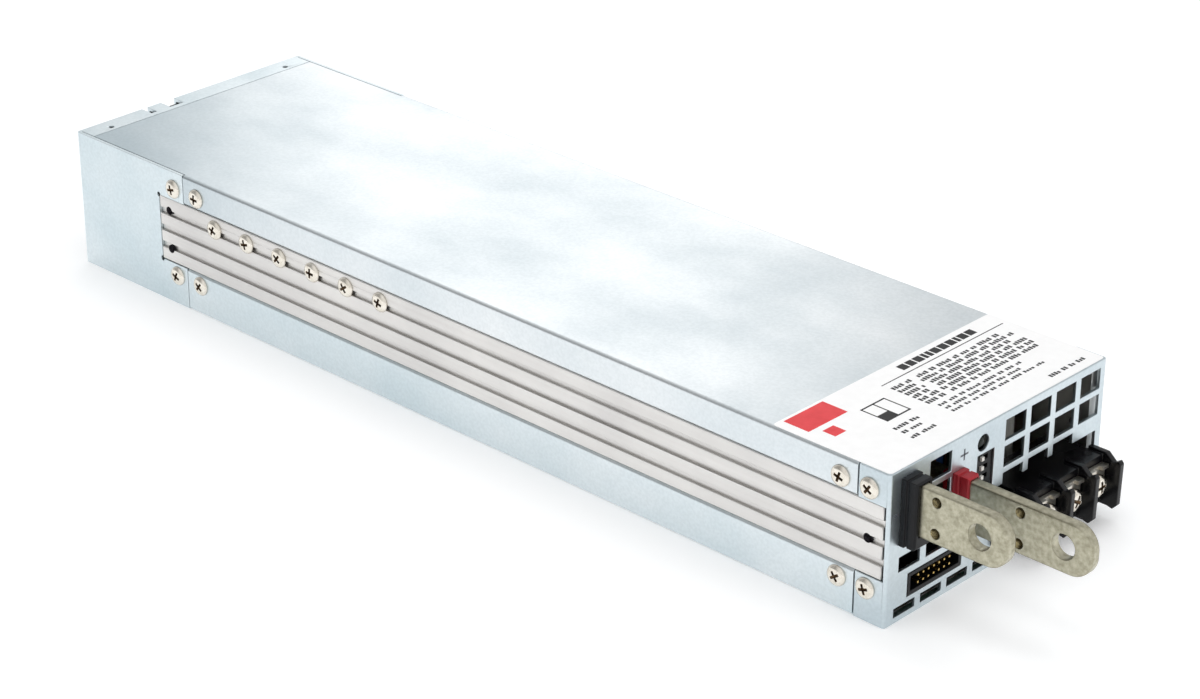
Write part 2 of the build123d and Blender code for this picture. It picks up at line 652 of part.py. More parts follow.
# Side rails: a grooved band that shows, and wings behind the sheet flanges
with BuildPart() as left_heatsink:
    with BuildSketch(Plane.YZ.offset(RAIL_REAR_X)):
        wall_y = (INNER_Y + RAIL_INNER_Y) / 2
        with Locations((-wall_y, (RAIL_LOW_Z + RAIL_HIGH_Z) / 2)):
            Rectangle(INNER_Y - RAIL_INNER_Y, RAIL_HIGH_Z - RAIL_LOW_Z)
        band_y = (RAIL_FACE_Y + RAIL_INNER_Y) / 2
        with Locations((-band_y, BAND_Z)):
            Rectangle(RAIL_FACE_Y - RAIL_INNER_Y, BAND_HEIGHT)
        for lip_z in (RAIL_LOW_Z + RAIL_LIP_THICK / 2, RAIL_HIGH_Z - RAIL_LIP_THICK / 2):
            with Locations((-RAIL_INNER_Y + RAIL_LIP / 2, lip_z)):
                Rectangle(RAIL_LIP, RAIL_LIP_THICK)
        with Locations((-RAIL_FACE_Y + GROOVE_DEPTH / 2, BAND_Z)):
            with GridLocations(1, GROOVE_PITCH, 1, GROOVE_COUNT):
                Trapezoid(GROOVE_WIDTH, GROOVE_DEPTH, 80, rotation=90, mode=Mode.SUBTRACT)
    extrude(amount=RAIL_FRONT_X - RAIL_REAR_X)
    for x in DEVICE_XS:
        rod(left_plane(x, -RAIL_INNER_Y, DEVICE_Z), M3_R + FIT, RAIL_WALL, mode=Mode.SUBTRACT)
    for x, z in SIDE_SCREWS:
        rod(left_plane(x, -RAIL_INNER_Y, z), M3_R + FIT, RAIL_WALL, mode=Mode.SUBTRACT)
    for x, z in SIDE_TAPS:
        rod(left_plane(x, -RAIL_INNER_Y, z), SIDE_TAP_R, RAIL_WALL, mode=Mode.SUBTRACT)
save(left_heatsink, "left_heatsink")

with BuildPart() as right_heatsink:
    mirror(left_heatsink.part, about=Plane.XZ)
save(right_heatsink, "right_heatsink")

# Screws that hold the sheets and the transistors to the rails
with BuildPart() as case_screws:
    for x, z in SIDE_SCREWS:
        screw(left_plane(x, -OUTER_Y, z), HEAD_R, HEAD_H, M3_R, CASE_SCREW_LENGTH)
    mirror(about=Plane.XZ)
save(case_screws, "case_screws")

with BuildPart() as device_screws:
    for x in DEVICE_XS:
        screw(left_plane(x, -RAIL_FACE_Y, DEVICE_Z), HEAD_R, HEAD_H, M3_R, DEVICE_SCREW_LENGTH)
    mirror(about=Plane.XZ)
save(device_screws, "device_screws")

# Power transistors, each on an insulating pad with a nut on its tab
with BuildPart() as thermal_pads:
    slab(
        (DEVICE_XS[0] - DEVICE_WIDTH / 2, -RAIL_INNER_Y, DEVICE_TOP_Z - TAB_HEIGHT),
        (DEVICE_XS[-1] + DEVICE_WIDTH / 2, -PAD_Y, DEVICE_TOP_Z),
    )
    for x in DEVICE_XS:
        rod(left_plane(x, -PAD_Y, DEVICE_Z), SHEET_HOLE_R, PAD, mode=Mode.SUBTRACT)
    mirror(about=Plane.XZ)
save(thermal_pads, "thermal_pads")

with BuildPart() as power_transistors:
    for x in DEVICE_XS:
        low_z = DEVICE_TOP_Z - TAB_HEIGHT
        slab(
            (x - DEVICE_WIDTH / 2, -PAD_Y, low_z),
            (x + DEVICE_WIDTH / 2, -PAD_Y + TAB, DEVICE_TOP_Z),
        )
        slab(
            (x - DEVICE_WIDTH / 2, -PAD_Y + TAB, low_z),
            (x + DEVICE_WIDTH / 2, -PAD_Y + DEVICE_BODY, low_z + DEVICE_BODY_HEIGHT),
        )
        for leg in (-1, 0, 1):
            leg_x = x + leg * LEG_PITCH
            leg_y = -PAD_Y + DEVICE_BODY / 2
            slab(
                (leg_x - LEG / 2, leg_y - LEG / 2, BOARD_TOP),
                (leg_x + LEG / 2, leg_y + LEG / 2, low_z),
            )
        rod(left_plane(x, -PAD_Y + TAB, DEVICE_Z), SHEET_HOLE_R, TAB, mode=Mode.SUBTRACT)
    mirror(about=Plane.XZ)
save(power_transistors, "power_transistors")

with BuildPart() as device_nuts:
    for x in DEVICE_XS:
        hexagon(left_plane(x, -PAD_Y + TAB, DEVICE_Z), NUT_FLATS, -NUT_H, M3_R + FIT)
    mirror(about=Plane.XZ)
save(device_nuts, "device_nuts")

# Circuit board on its standoffs, over an insulating film
with BuildPart() as main_board:
    slab((BOARD_REAR_X, -BOARD_Y, BOARD_LOW_Z), (BOARD_FRONT_X, BOARD_Y, BOARD_TOP))
    for x, y in STANDOFF_PLACES:
        rod(top_plane(x, y, BOARD_LOW_Z), SHEET_HOLE_R, BOARD, mode=Mode.SUBTRACT)
save(main_board, "main_board")

with BuildPart() as insulating_film:
    slab(
        (BOARD_REAR_X + FILM_INSET, -BOARD_Y, SHEET),
        (FRONT_X - SHEET - FILM_FRONT_GAP, BOARD_Y, SHEET + FILM),
    )
    for x, y in STANDOFF_PLACES + BASE_HOLES:
        rod(top_plane(x, y, SHEET), PRESS_NUT_R + SEAM, FILM, mode=Mode.SUBTRACT)
save(insulating_film, "insulating_film")

with BuildPart() as board_standoffs:
    for x, y in STANDOFF_PLACES:
        hexagon(top_plane(x, y, SHEET), STANDOFF_FLATS, BOARD_LOW_Z - SHEET, M3_R + FIT)
save(board_standoffs, "board_standoffs")

with BuildPart() as board_screws:
    for x, y in STANDOFF_PLACES:
        screw(top_plane(x, y, BOARD_TOP), HEAD_R, BOARD_SCREW_HEAD_H, M3_R, BOARD_TOP - SHEET)
save(board_screws, "board_screws")

with BuildPart() as press_nuts:
    for x, y in BASE_HOLES:
        rod(top_plane(x, y, SHEET), PRESS_NUT_R, PRESS_NUT_H)
        rod(top_plane(x, y, SHEET), BASE_THREAD_R, PRESS_NUT_H, mode=Mode.SUBTRACT)
save(press_nuts, "press_nuts")

# Fans: a frame with its motor plate and struts, and a rotor on a shaft
for number, fan_y in enumerate((-FAN_Y, FAN_Y), start=1):
    with BuildPart() as fan_frame:
        with BuildSketch(front_plane(FAN_REAR_X, fan_y, FAN_Z)) as square:
            RectangleRounded(FAN, FAN, FAN_CORNER_R)
        extrude(amount=FAN_DEPTH)
        with BuildSketch(front_plane(FAN_REAR_X + FAN_FLANGE, fan_y, FAN_Z)) as waist:
            Rectangle(2 * FAN, 2 * FAN)
            RectangleRounded(FAN - 2 * FAN_WALL, FAN - 2 * FAN_WALL, FAN_WAIST_R, mode=Mode.SUBTRACT)
        extrude(amount=FAN_DEPTH - 2 * FAN_FLANGE, mode=Mode.SUBTRACT)
        rod(front_plane(FAN_REAR_X, fan_y, FAN_Z), FAN_BORE_R, FAN_DEPTH, mode=Mode.SUBTRACT)
        with BuildSketch(front_plane(FAN_REAR_X, fan_y, FAN_Z)):
            Circle(FAN_HUB_R)
            with PolarLocations(FAN_BORE_R / 2, STRUT_COUNT):
                Rectangle(FAN_BORE_R + FAN_WALL, STRUT_WIDTH)
        extrude(amount=MOTOR_PLATE)
        rod(front_plane(FAN_REAR_X + MOTOR_PLATE, fan_y, FAN_Z), BEARING_R, BEARING_LENGTH)
        shaft_seat = front_plane(FAN_REAR_X + MOTOR_PLATE / 2, fan_y, FAN_Z)
        rod(shaft_seat, SHAFT_R + FIT, FAN_DEPTH, mode=Mode.SUBTRACT)
        with Locations(Plane.YZ.offset(FAN_REAR_X) * Location((fan_y, FAN_Z))):
            with GridLocations(FAN_HOLE_PITCH, FAN_HOLE_PITCH, 2, 2):
                Cylinder(
                    FAN_HOLE_R,
                    FAN_DEPTH,
                    align=(Align.CENTER, Align.CENTER, Align.MIN),
                    mode=Mode.SUBTRACT,
                )
    save(fan_frame, f"fan_frame_{number}")

    with BuildPart() as fan_rotor:
        rod(front_plane(ROTOR_REAR_X, fan_y, FAN_Z), FAN_HUB_R, ROTOR_LENGTH)
        rod(
            front_plane(ROTOR_REAR_X, fan_y, FAN_Z),
            FAN_HUB_R - FAN_HUB_WALL,
            ROTOR_LENGTH - FAN_HUB_WALL,
            mode=Mode.SUBTRACT,
        )
        fillet(fan_rotor.edges().filter_by(GeomType.CIRCLE).group_by(Axis.X)[-1], FAN_HUB_WALL / 2)
        rod(
            front_plane(FAN_REAR_X + MOTOR_PLATE, fan_y, FAN_Z),
            SHAFT_R,
            ROTOR_REAR_X + ROTOR_LENGTH - FAN_HUB_WALL / 2 - FAN_REAR_X - MOTOR_PLATE,
        )
        hub_axis = Axis((0, fan_y, FAN_Z), (1, 0, 0))
        with BuildPart(mode=Mode.PRIVATE) as blade:
            middle_x = ROTOR_REAR_X + ROTOR_LENGTH / 2
            with BuildSketch(top_plane(middle_x, fan_y, FAN_Z + BLADE_ROOT_R)) as root:
                Rectangle(BLADE_ROOT_CHORD, BLADE_THICK, rotation=BLADE_ROOT_ANGLE)
            with BuildSketch(top_plane(middle_x, fan_y, FAN_Z + FAN_BORE_R)) as tip:
                Rectangle(BLADE_TIP_CHORD, BLADE_THICK, rotation=BLADE_TIP_ANGLE)
            loft([root.sketch, tip.sketch])
            hub = front_plane(REAR_X, fan_y, FAN_Z)
            rod(hub, FAN_BORE_R - BLADE_GAP, LENGTH, mode=Mode.INTERSECT)
            rod(hub, FAN_HUB_R - FAN_HUB_WALL / 2, LENGTH, mode=Mode.SUBTRACT)
        for turn in range(FAN_BLADES):
            add(blade.part.rotate(hub_axis, turn * 360 / FAN_BLADES))
    save(fan_rotor, f"fan_rotor_{number}")

with BuildPart() as fan_screws:
    for fan_y in (-FAN_Y, FAN_Y):
        for step_y in (-FAN_HOLE_PITCH / 2, FAN_HOLE_PITCH / 2):
            for step_z in (-FAN_HOLE_PITCH / 2, FAN_HOLE_PITCH / 2):
                head = front_plane(REAR_X, fan_y + step_y, FAN_Z + step_z)
                with BuildSketch(head) as top:
                    Circle(FAN_SCREW_R - FIT)
                extrude(top.sketch, amount=SHEET, taper=45)
                rod(head, FAN_HOLE_R - 2 * FIT, FAN_SCREW_LENGTH)
                with BuildSketch(head) as cross:
                    Rectangle(RECESS_LENGTH, RECESS_WIDTH)
                    Rectangle(RECESS_WIDTH, RECESS_LENGTH)
                extrude(cross.sketch, amount=RECESS_DEPTH, mode=Mode.SUBTRACT)
save(fan_screws, "fan_screws")

# Bus bars: upright plates with a lug hole, two small tapped holes and a leg
# down to the board, each in a moulded insulator that fills its panel cut-out
for name, bar in BARS.items():
    end_x = FRONT_X + bar["reach"]
    rear_x = FRONT_X - BAR_INSIDE
    hole_x = end_x - BAR_HOLE_FROM_END
    low_z = bar["z"] - BAR_HEIGHT / 2
    high_z = bar["z"] + BAR_HEIGHT / 2
    with BuildPart() as bus_bar:
        with BuildSketch(Plane.XZ.offset(-bar["y"] - BAR_THICK / 2)) as plate:
            with Locations(((rear_x + end_x) / 2, bar["z"])):
                Rectangle(end_x - rear_x, BAR_HEIGHT)
            fillet(plate.vertices().group_by(Axis.X)[-1], BAR_END_R)
            with Locations((rear_x + BAR_LEG / 2, (BOARD_TOP + high_z) / 2)):
                Rectangle(BAR_LEG, high_z - BOARD_TOP)
            with Locations((hole_x, bar["z"])):
                Circle(BAR_HOLE_R, mode=Mode.SUBTRACT)
            for step_z in (-TAP_PITCH / 2, TAP_PITCH / 2):
                with Locations((hole_x - TAP_FROM_HOLE, bar["z"] + step_z)):
                    Circle(TAP_HOLE_R, mode=Mode.SUBTRACT)
        extrude(amount=BAR_THICK)
        sides = bus_bar.faces().filter_by(Axis.Y)
        chamfer([edge for side in sides for edge in side.outer_wire().edges()], BAR_EDGE)
    save(bus_bar, f"{name}_bus_bar")

    with BuildPart() as insulator:
        half_sleeve = BAR_THICK / 2 + SLEEVE_GAP + SLEEVE_WALL
        sleeve_z = SLEEVE_GAP + SLEEVE_WALL
        collar_x = FRONT_X + INSULATOR_FLANGE + INSULATOR_NECK
        for first_x, last_x, inset in (
            (FRONT_X, FRONT_X + INSULATOR_FLANGE, 0),
            (FRONT_X + INSULATOR_FLANGE, collar_x, NECK_INSET),
            (collar_x, FRONT_X + INSULATOR_REACH, COLLAR_INSET),
        ):
            half_width = bar["width"] / 2 - inset
            slab(
                (first_x, bar["y"] - half_width, low_z - bar["below"] + inset),
                (last_x, bar["y"] + half_width, high_z + INSULATOR_ABOVE - inset),
            )
        chamfer(insulator.faces().sort_by(Axis.X)[-1].edges(), INSULATOR_EDGE)
        slab(
            (FRONT_X - SLEEVE_DEPTH, bar["y"] - half_sleeve, low_z - sleeve_z),
            (FRONT_X, bar["y"] + half_sleeve, high_z + sleeve_z),
        )
        slab(
            (rear_x, bar["y"] - BAR_THICK / 2 - SLEEVE_GAP, low_z - SLEEVE_GAP),
            (end_x, bar["y"] + BAR_THICK / 2 + SLEEVE_GAP, high_z + SLEEVE_GAP),
            mode=Mode.SUBTRACT,
        )
    save(insulator, f"{name}_insulator")

# Mains terminal block: a body through the panel, barrier walls between the
# positions and an ear at its left end
with BuildPart() as terminal_block:
    slab(
        (FRONT_X - BLOCK_DEPTH, BLOCK_LEFT_Y + SEAM, BOARD_TOP),
        (FRONT_X, BLOCK_RIGHT_Y - BLOCK_WALL, BLOCK_ROOF_Z),
    )
    slab((FRONT_X, BLOCK_LEFT_Y, BLOCK_FOOT_Z), (BLOCK_FACE_X, BLOCK_RIGHT_Y, BLOCK_ROOF_Z))
    slab(
        (FRONT_X - SLEEVE_DEPTH, BLOCK_LEFT_Y - BLOCK_EAR, BOARD_TOP),
        (FRONT_X + BLOCK_EAR_THICK, BLOCK_LEFT_Y + SEAM, BLOCK_ROOF_Z - BLOCK_EAR_DROP),
    )
    with BuildSketch(Plane.XZ.offset(-BLOCK_LEFT_Y - BLOCK_WALL)) as wall:
        top_z = BLOCK_ROOF_Z + BLOCK_RISE
        tip_x = FRONT_X + BLOCK_REACH
        with BuildLine():
            Polyline(
                (FRONT_X, top_z),
                (BLOCK_FACE_X + BLOCK_SHOULDER, top_z),
                (tip_x - BLOCK_NOTCH[0], top_z - BLOCK_NOTCH[1]),
                (tip_x - BLOCK_HORN[0], top_z - BLOCK_HORN[1]),
                (tip_x, top_z - BLOCK_NOTCH[1]),
                (tip_x - BLOCK_TIP_LEAN[0], BLOCK_FOOT_Z + BLOCK_TIP_LEAN[1]),
                (tip_x - BLOCK_TOE[0], BLOCK_FOOT_Z - BLOCK_TOE[1]),
                (tip_x - BLOCK_HEEL, BLOCK_FOOT_Z),
                (FRONT_X, BLOCK_FOOT_Z),
                close=True,
            )
        make_face()
    for n in range(BLOCK_POSITIONS + 1):
        extrude(Location((0, n * BLOCK_PITCH, 0)) * wall.sketch, amount=BLOCK_WALL)
    for y in TERMINAL_YS:
        slab(
            (BLOCK_FACE_X - CONTACT + CONTACT_PROUD, y - CONTACT_WIDTH / 2, CONTACT_LOW_Z),
            (BLOCK_FACE_X, y + CONTACT_WIDTH / 2, CONTACT_LOW_Z + CONTACT_HEIGHT),
            mode=Mode.SUBTRACT,
        )
        slab(
            (FRONT_X - BLOCK_DEPTH, y - TAIL_WIDTH / 2, TAIL_Z),
            (BLOCK_FACE_X, y + TAIL_WIDTH / 2, TAIL_Z + TAIL),
            mode=Mode.SUBTRACT,
        )
        well = front_plane(BLOCK_FACE_X, y, TERMINAL_Z)
        rod(well, TERMINAL_SCREW_R + SEAM, -BLOCK_WELL, mode=Mode.SUBTRACT)
save(terminal_block, "terminal_block")

with BuildPart() as terminal_contacts:
    for y in TERMINAL_YS:
        plate_x = BLOCK_FACE_X - CONTACT + CONTACT_PROUD
        tail_x = FRONT_X - BLOCK_DEPTH - TAIL_BEHIND
        slab(
            (plate_x, y - CONTACT_WIDTH / 2, CONTACT_LOW_Z),
            (plate_x + CONTACT, y + CONTACT_WIDTH / 2, CONTACT_LOW_Z + CONTACT_HEIGHT),
        )
        slab((tail_x, y - TAIL_WIDTH / 2, TAIL_Z), (plate_x, y + TAIL_WIDTH / 2, TAIL_Z + TAIL))
        slab(
            (tail_x, y - TAIL_WIDTH / 2, BOARD_TOP),
            (tail_x + TAIL, y + TAIL_WIDTH / 2, TAIL_Z + TAIL),
        )
        thread = front_plane(plate_x, y, TERMINAL_Z)
        rod(thread, TERMINAL_SCREW_R + TERMINAL_FIT, CONTACT, mode=Mode.SUBTRACT)
save(terminal_contacts, "terminal_contacts")

for number, y in enumerate(TERMINAL_YS, start=1):
    clamp_x = BLOCK_FACE_X + CONTACT_PROUD + CLAMP_GAP
    with BuildPart() as terminal_clamp:
        slab(
            (clamp_x, y - CLAMP_SIZE / 2, TERMINAL_Z - CLAMP_SIZE / 2),
            (clamp_x + CLAMP, y + CLAMP_SIZE / 2, TERMINAL_Z + CLAMP_SIZE / 2 + CLAMP_LIP),
        )
        for lip_y in (y - CLAMP_SIZE / 2, y + CLAMP_SIZE / 2 - CLAMP_LIP_WIDTH):
            slab(
                (clamp_x + CLAMP, lip_y, TERMINAL_Z + CLAMP_SIZE / 2),
                (
                    clamp_x + CLAMP + CLAMP_LIP,
                    lip_y + CLAMP_LIP_WIDTH,
                    TERMINAL_Z + CLAMP_SIZE / 2 + CLAMP_LIP,
                ),
            )
        hole = front_plane(clamp_x, y, TERMINAL_Z)
        rod(hole, TERMINAL_SCREW_R + TERMINAL_FIT, CLAMP, mode=Mode.SUBTRACT)
    save(terminal_clamp, f"terminal_clamp_{number}")

    with BuildPart() as terminal_screw:
        screw(
            front_plane(clamp_x + CLAMP + FIT, y, TERMINAL_Z),
            TERMINAL_HEAD_R,
            TERMINAL_HEAD_H,
            TERMINAL_SCREW_R,
            TERMINAL_SCREW_LENGTH,
        )
    save(terminal_screw, f"terminal_screw_{number}")

# DIP switch with one slider for each way, on an upright board with the lamp
with BuildPart() as dip_switch_body:
    face_x = FRONT_X - DIP_RECESS
    slab(
        (FRONT_X - PANEL_BOARD_INSET, DIP_Y - DIP_WIDTH / 2, DIP_Z - DIP_HEIGHT / 2),
        (face_x, DIP_Y + DIP_WIDTH / 2, DIP_Z + DIP_HEIGHT / 2),
    )
    for z in SLIDER_ZS:
        half_y = (SLIDER + SLIDER_TRAVEL) / 2 + SLIDER_GAP
        half_z = SLIDER / 2 + SLIDER_GAP
        slab(
            (face_x - SLIDER_DEPTH, DIP_Y - half_y, z - half_z),
            (face_x, DIP_Y + half_y, z + half_z),
            mode=Mode.SUBTRACT,
        )
save(dip_switch_body, "dip_switch_body")

for number, z in enumerate(SLIDER_ZS, start=1):
    with BuildPart() as dip_slider:
        middle_y = DIP_Y - SLIDER_TRAVEL / 2
        slab(
            (
                FRONT_X - DIP_RECESS - SLIDER_DEPTH + SLIDER_GAP,
                middle_y - SLIDER / 2,
                z - SLIDER / 2,
            ),
            (FRONT_X - DIP_RECESS + SLIDER_PROUD, middle_y + SLIDER / 2, z + SLIDER / 2),
        )
    save(dip_slider, f"dip_slider_{number}")

with BuildPart() as panel_board:
    board_x = FRONT_X - PANEL_BOARD_INSET
    slab(
        (board_x - UPRIGHT_BOARD, DIP_Y - DIP_WIDTH / 2 - PANEL_BOARD_SIDE, BOARD_TOP),
        (board_x, DIP_Y + DIP_WIDTH / 2, LAMP_Z + LAMP_HOLE_R),
    )
save(panel_board, "panel_board")

with BuildPart() as status_lamp:
    back_x = FRONT_X - PANEL_BOARD_INSET
    rod(front_plane(back_x, LAMP_Y, LAMP_Z), LAMP_R, PANEL_BOARD_INSET - LAMP_SET_BACK)
    fillet(status_lamp.faces().sort_by(Axis.X)[-1].edges(), LAMP_R - FIT)
    rod(front_plane(back_x, LAMP_Y, LAMP_Z), LAMP_HOLE_R, SHEET)
save(status_lamp, "status_lamp")

# Signal connector: a boxed header with two rows of pins
with BuildPart() as signal_connector_shell:
    slab(
        (FRONT_X - PLUG_DEPTH, PLUG_Y - PLUG_WIDTH / 2, PLUG_Z - PLUG_HEIGHT / 2),
        (FRONT_X, PLUG_Y + PLUG_WIDTH / 2, PLUG_Z + PLUG_HEIGHT / 2),
    )
    slab(
        (
            FRONT_X - PLUG_CAVITY,
            PLUG_Y - PLUG_WIDTH / 2 + PLUG_WALL,
            PLUG_Z - PLUG_HEIGHT / 2 + PLUG_WALL,
        ),
        (
            FRONT_X,
            PLUG_Y + PLUG_WIDTH / 2 - PLUG_WALL,
            PLUG_Z + PLUG_HEIGHT / 2 - PLUG_WALL,
        ),
        mode=Mode.SUBTRACT,
    )
    for y, z in PIN_PLACES:
        slab(
            (FRONT_X - PLUG_DEPTH, y - PIN / 2, z - PIN / 2),
            (FRONT_X, y + PIN / 2, z + PIN / 2),
            mode=Mode.SUBTRACT,
        )
save(signal_connector_shell, "signal_connector_shell")

with BuildPart() as signal_connector_pins:
    for y, z in PIN_PLACES:
        tail_x = FRONT_X - PLUG_DEPTH - (z - BOARD_TOP) / 2
        slab((tail_x, y - PIN / 2, z - PIN / 2), (FRONT_X - PIN_SETBACK, y + PIN / 2, z + PIN / 2))
        slab((tail_x, y - PIN / 2, BOARD_TOP), (tail_x + PIN, y + PIN / 2, z))
save(signal_connector_pins, "signal_connector_pins")

# Print field
with BuildPart() as label:
    with BuildSketch(top_plane(FRONT_X - LABEL_INSET - LABEL_LENGTH / 2, 0, HEIGHT)):
        RectangleRounded(LABEL_LENGTH, WIDTH - 2 * LABEL_INSET, LABEL_CORNER_R)
    extrude(amount=LABEL)
save(label, "label")


def can(x, y, radius, height):
    """Adds an electrolytic capacitor: a can with a crimp near its foot."""
    with BuildSketch(left_plane(x, y, BOARD_TOP)) as half:
        with BuildLine():
            Polyline(
                (0, 0),
                (radius, 0),
                (radius, CRIMP_Z - CRIMP),
                (radius - CRIMP, CRIMP_Z),
                (radius, CRIMP_Z + CRIMP),
                (radius, height - CRIMP),
                (radius - CRIMP, height),
                (0, height),
                close=True,
            )
        make_face()
    revolve(half.sketch, axis=Axis((x, y, 0), (0, 0, 1)))


def box_on_board(x, y, size):
    """Adds a block that stands on the board, centred on a place."""
    length, width, height = size
    slab(
        (x - length / 2, y - width / 2, BOARD_TOP),
        (x + length / 2, y + width / 2, BOARD_TOP + height),
    )


def ring(x, y, outer, inner, low_z, high_z, mode=Mode.ADD):
    """Adds or cuts a flat ring about an upright axis."""
    with BuildSketch(top_plane(x, y, low_z)) as band:
        Circle(outer)
        Circle(inner, mode=Mode.SUBTRACT)
    extrude(band.sketch, amount=high_z - low_z, mode=mode)


# Rows of parts along and across the board
BULK_LENGTH = 2 * BULK_CAN_R + (BULK_CAN_COUNT - 1) * BULK_CAN_PITCH
OUTPUT_LENGTH = 2 * OUTPUT_CAN_R + (OUTPUT_CAN_COLUMNS - 1) * OUTPUT_CAN_PITCH
OUTPUT_WIDTH = 2 * OUTPUT_CAN_R + (OUTPUT_CAN_ROWS - 1) * OUTPUT_CAN_PITCH
BOOST_X, RESONANT_X, TRANSFORMER_X, RECTIFIER_X, OUTPUT_X = spread(
    BOARD_REAR_X + ROW_REAR,
    FRONT_X - LEFT_ROW_FRONT,
    (2 * BOOST_CHOKE["outer"], RESONANT_CHOKE[0], TRANSFORMER[0], RECTIFIER_SINK[0], OUTPUT_LENGTH),
)
BULK_X, CONTROL_X, FILTER_X, LINE_CHOKE_X = spread(
    BOARD_REAR_X + ROW_REAR,
    FRONT_X - RIGHT_ROW_FRONT,
    (BULK_LENGTH, CONTROL_BOARD_LENGTH, FILTER_CAPACITOR[0], 2 * LINE_CHOKE["outer"]),
)
BOOST_Y, BULK_Y = spread(
    PART_GAP - DEVICE_FACE_Y,
    DEVICE_FACE_Y - PART_GAP,
    (2 * BOOST_CHOKE["outer"], 2 * BULK_CAN_R),
)
OUTPUT_Y, RELAY_Y, FILTER_Y = spread(
    PART_GAP - BOARD_Y,
    BOARD_Y - PART_GAP,
    (OUTPUT_WIDTH, INRUSH_RELAY[1], FILTER_CAPACITOR[1]),
)
CONTROL_Y = beside_rail(1, CONTROL_BOARD_GAP, UPRIGHT_BOARD)
RECTIFIER_Y = beside_rail(-1, RECTIFIER_SINK_GAP, RECTIFIER_SINK[1])
FUSE_Y = beside_rail(1, FUSE_GAP, FUSE_LENGTH)

with BuildPart() as bulk_capacitors:
    for n in range(BULK_CAN_COUNT):
        x = BULK_X + (n - (BULK_CAN_COUNT - 1) / 2) * BULK_CAN_PITCH
        can(x, BULK_Y, BULK_CAN_R, BULK_CAN_H)
save(bulk_capacitors, "bulk_capacitors")

with BuildPart() as output_capacitors:
    for column in range(OUTPUT_CAN_COLUMNS):
        for row in range(OUTPUT_CAN_ROWS):
            x = OUTPUT_X + (column - (OUTPUT_CAN_COLUMNS - 1) / 2) * OUTPUT_CAN_PITCH
            y = OUTPUT_Y + (row - (OUTPUT_CAN_ROWS - 1) / 2) * OUTPUT_CAN_PITCH
            can(x, y, OUTPUT_CAN_R, OUTPUT_CAN_H)
save(output_capacitors, "output_capacitors")

with BuildPart() as line_capacitor:
    line_can_y = beside_rail(1, LINE_CAN_GAP, 2 * LINE_CAN_R)
    can(FRONT_X - LINE_CAN_FRONT, line_can_y, LINE_CAN_R, LINE_CAN_H)
save(line_capacitor, "line_capacitor")

# Ring chokes: a powder core and its winding around it
for name, x, y, choke in (
    ("boost_choke", BOOST_X, BOOST_Y, BOOST_CHOKE),
    (
        "line_choke",
        LINE_CHOKE_X,
        beside_rail(1, LINE_CHOKE_GAP, 2 * LINE_CHOKE["outer"]),
        LINE_CHOKE,
    ),
):
    outer, inner, wire = choke["outer"], choke["inner"], choke["wire"]
    low_z, high_z = BOARD_TOP, BOARD_TOP + choke["height"]
    with BuildPart() as choke_core:
        ring(x, y, outer - wire, inner + wire, low_z + wire, high_z - wire)
    save(choke_core, f"{name}_core")
    with BuildPart() as choke_winding:
        ring(x, y, outer, inner, low_z, high_z)
        ring(x, y, outer - wire, inner + wire, low_z + wire, high_z - wire, mode=Mode.SUBTRACT)
        # The winding stops short on two opposite sides, where the core shows.
        slab(
            (x - outer, y - 2 * wire, low_z),
            (x + outer, y + 2 * wire, high_z),
            mode=Mode.SUBTRACT,
        )
    save(choke_winding, f"{name}_winding")

# Resonant choke and transformer: a wound limb inside a two-window ferrite core
for name, x, gap, size in (
    ("resonant_choke", RESONANT_X, RESONANT_CHOKE_GAP, RESONANT_CHOKE),
    ("transformer", TRANSFORMER_X, TRANSFORMER_GAP, TRANSFORMER),
):
    length, width, height = size
    y = beside_rail(-1, gap, width)
    low_z = BOARD_TOP + CORE_YOKE
    high_z = BOARD_TOP + height - CORE_YOKE
    with BuildPart() as core:
        box_on_board(x, y, (length, width * CORE_SHARE, height))
        for side in (-1, 1):
            window = (length - 4 * CORE_LIMB) / 2
            window_x = x + side * (CORE_LIMB + window / 2)
            slab(
                (window_x - window / 2, y - width, low_z),
                (window_x + window / 2, y + width, high_z),
                mode=Mode.SUBTRACT,
            )
    save(core, f"{name}_core")
    with BuildPart() as winding:
        middle = length / 2 - CORE_LIMB - WINDING_GAP
        with BuildSketch(top_plane(x, y, low_z + WINDING_GAP)):
            RectangleRounded(2 * middle, width, WINDING_CORNER_R)
            Rectangle(
                2 * (CORE_LIMB + WINDING_GAP),
                width * CORE_SHARE + 2 * WINDING_GAP,
                mode=Mode.SUBTRACT,
            )
        extrude(amount=high_z - low_z - 2 * WINDING_GAP)
    save(winding, f"{name}_winding")

with BuildPart() as control_board:
    board_size = (CONTROL_BOARD_LENGTH, UPRIGHT_BOARD, CONTROL_BOARD_HEIGHT)
    box_on_board(CONTROL_X, CONTROL_Y, board_size)
save(control_board, "control_board")

with BuildPart() as control_chips:
    for n in range(CHIP_COUNT):
        x = CONTROL_X + (n - (CHIP_COUNT - 1) / 2) * CHIP_PITCH
        y = CONTROL_Y + UPRIGHT_BOARD / 2
        z = BOARD_TOP + CONTROL_BOARD_HEIGHT / 2
        slab((x - CHIP[0] / 2, y, z - CHIP[2] / 2), (x + CHIP[0] / 2, y + CHIP[1], z + CHIP[2] / 2))
save(control_chips, "control_chips")

with BuildPart() as rectifier_heatsink:
    length, width, height = RECTIFIER_SINK
    box_on_board(RECTIFIER_X, RECTIFIER_Y, (length, width, SINK_BASE))
    for n in range(SINK_FIN_COUNT):
        share = n / (SINK_FIN_COUNT - 1) - 0.5
        box_on_board(
            RECTIFIER_X,
            RECTIFIER_Y + share * (width - SINK_FIN),
            (length, SINK_FIN, height),
        )
save(rectifier_heatsink, "rectifier_heatsink")

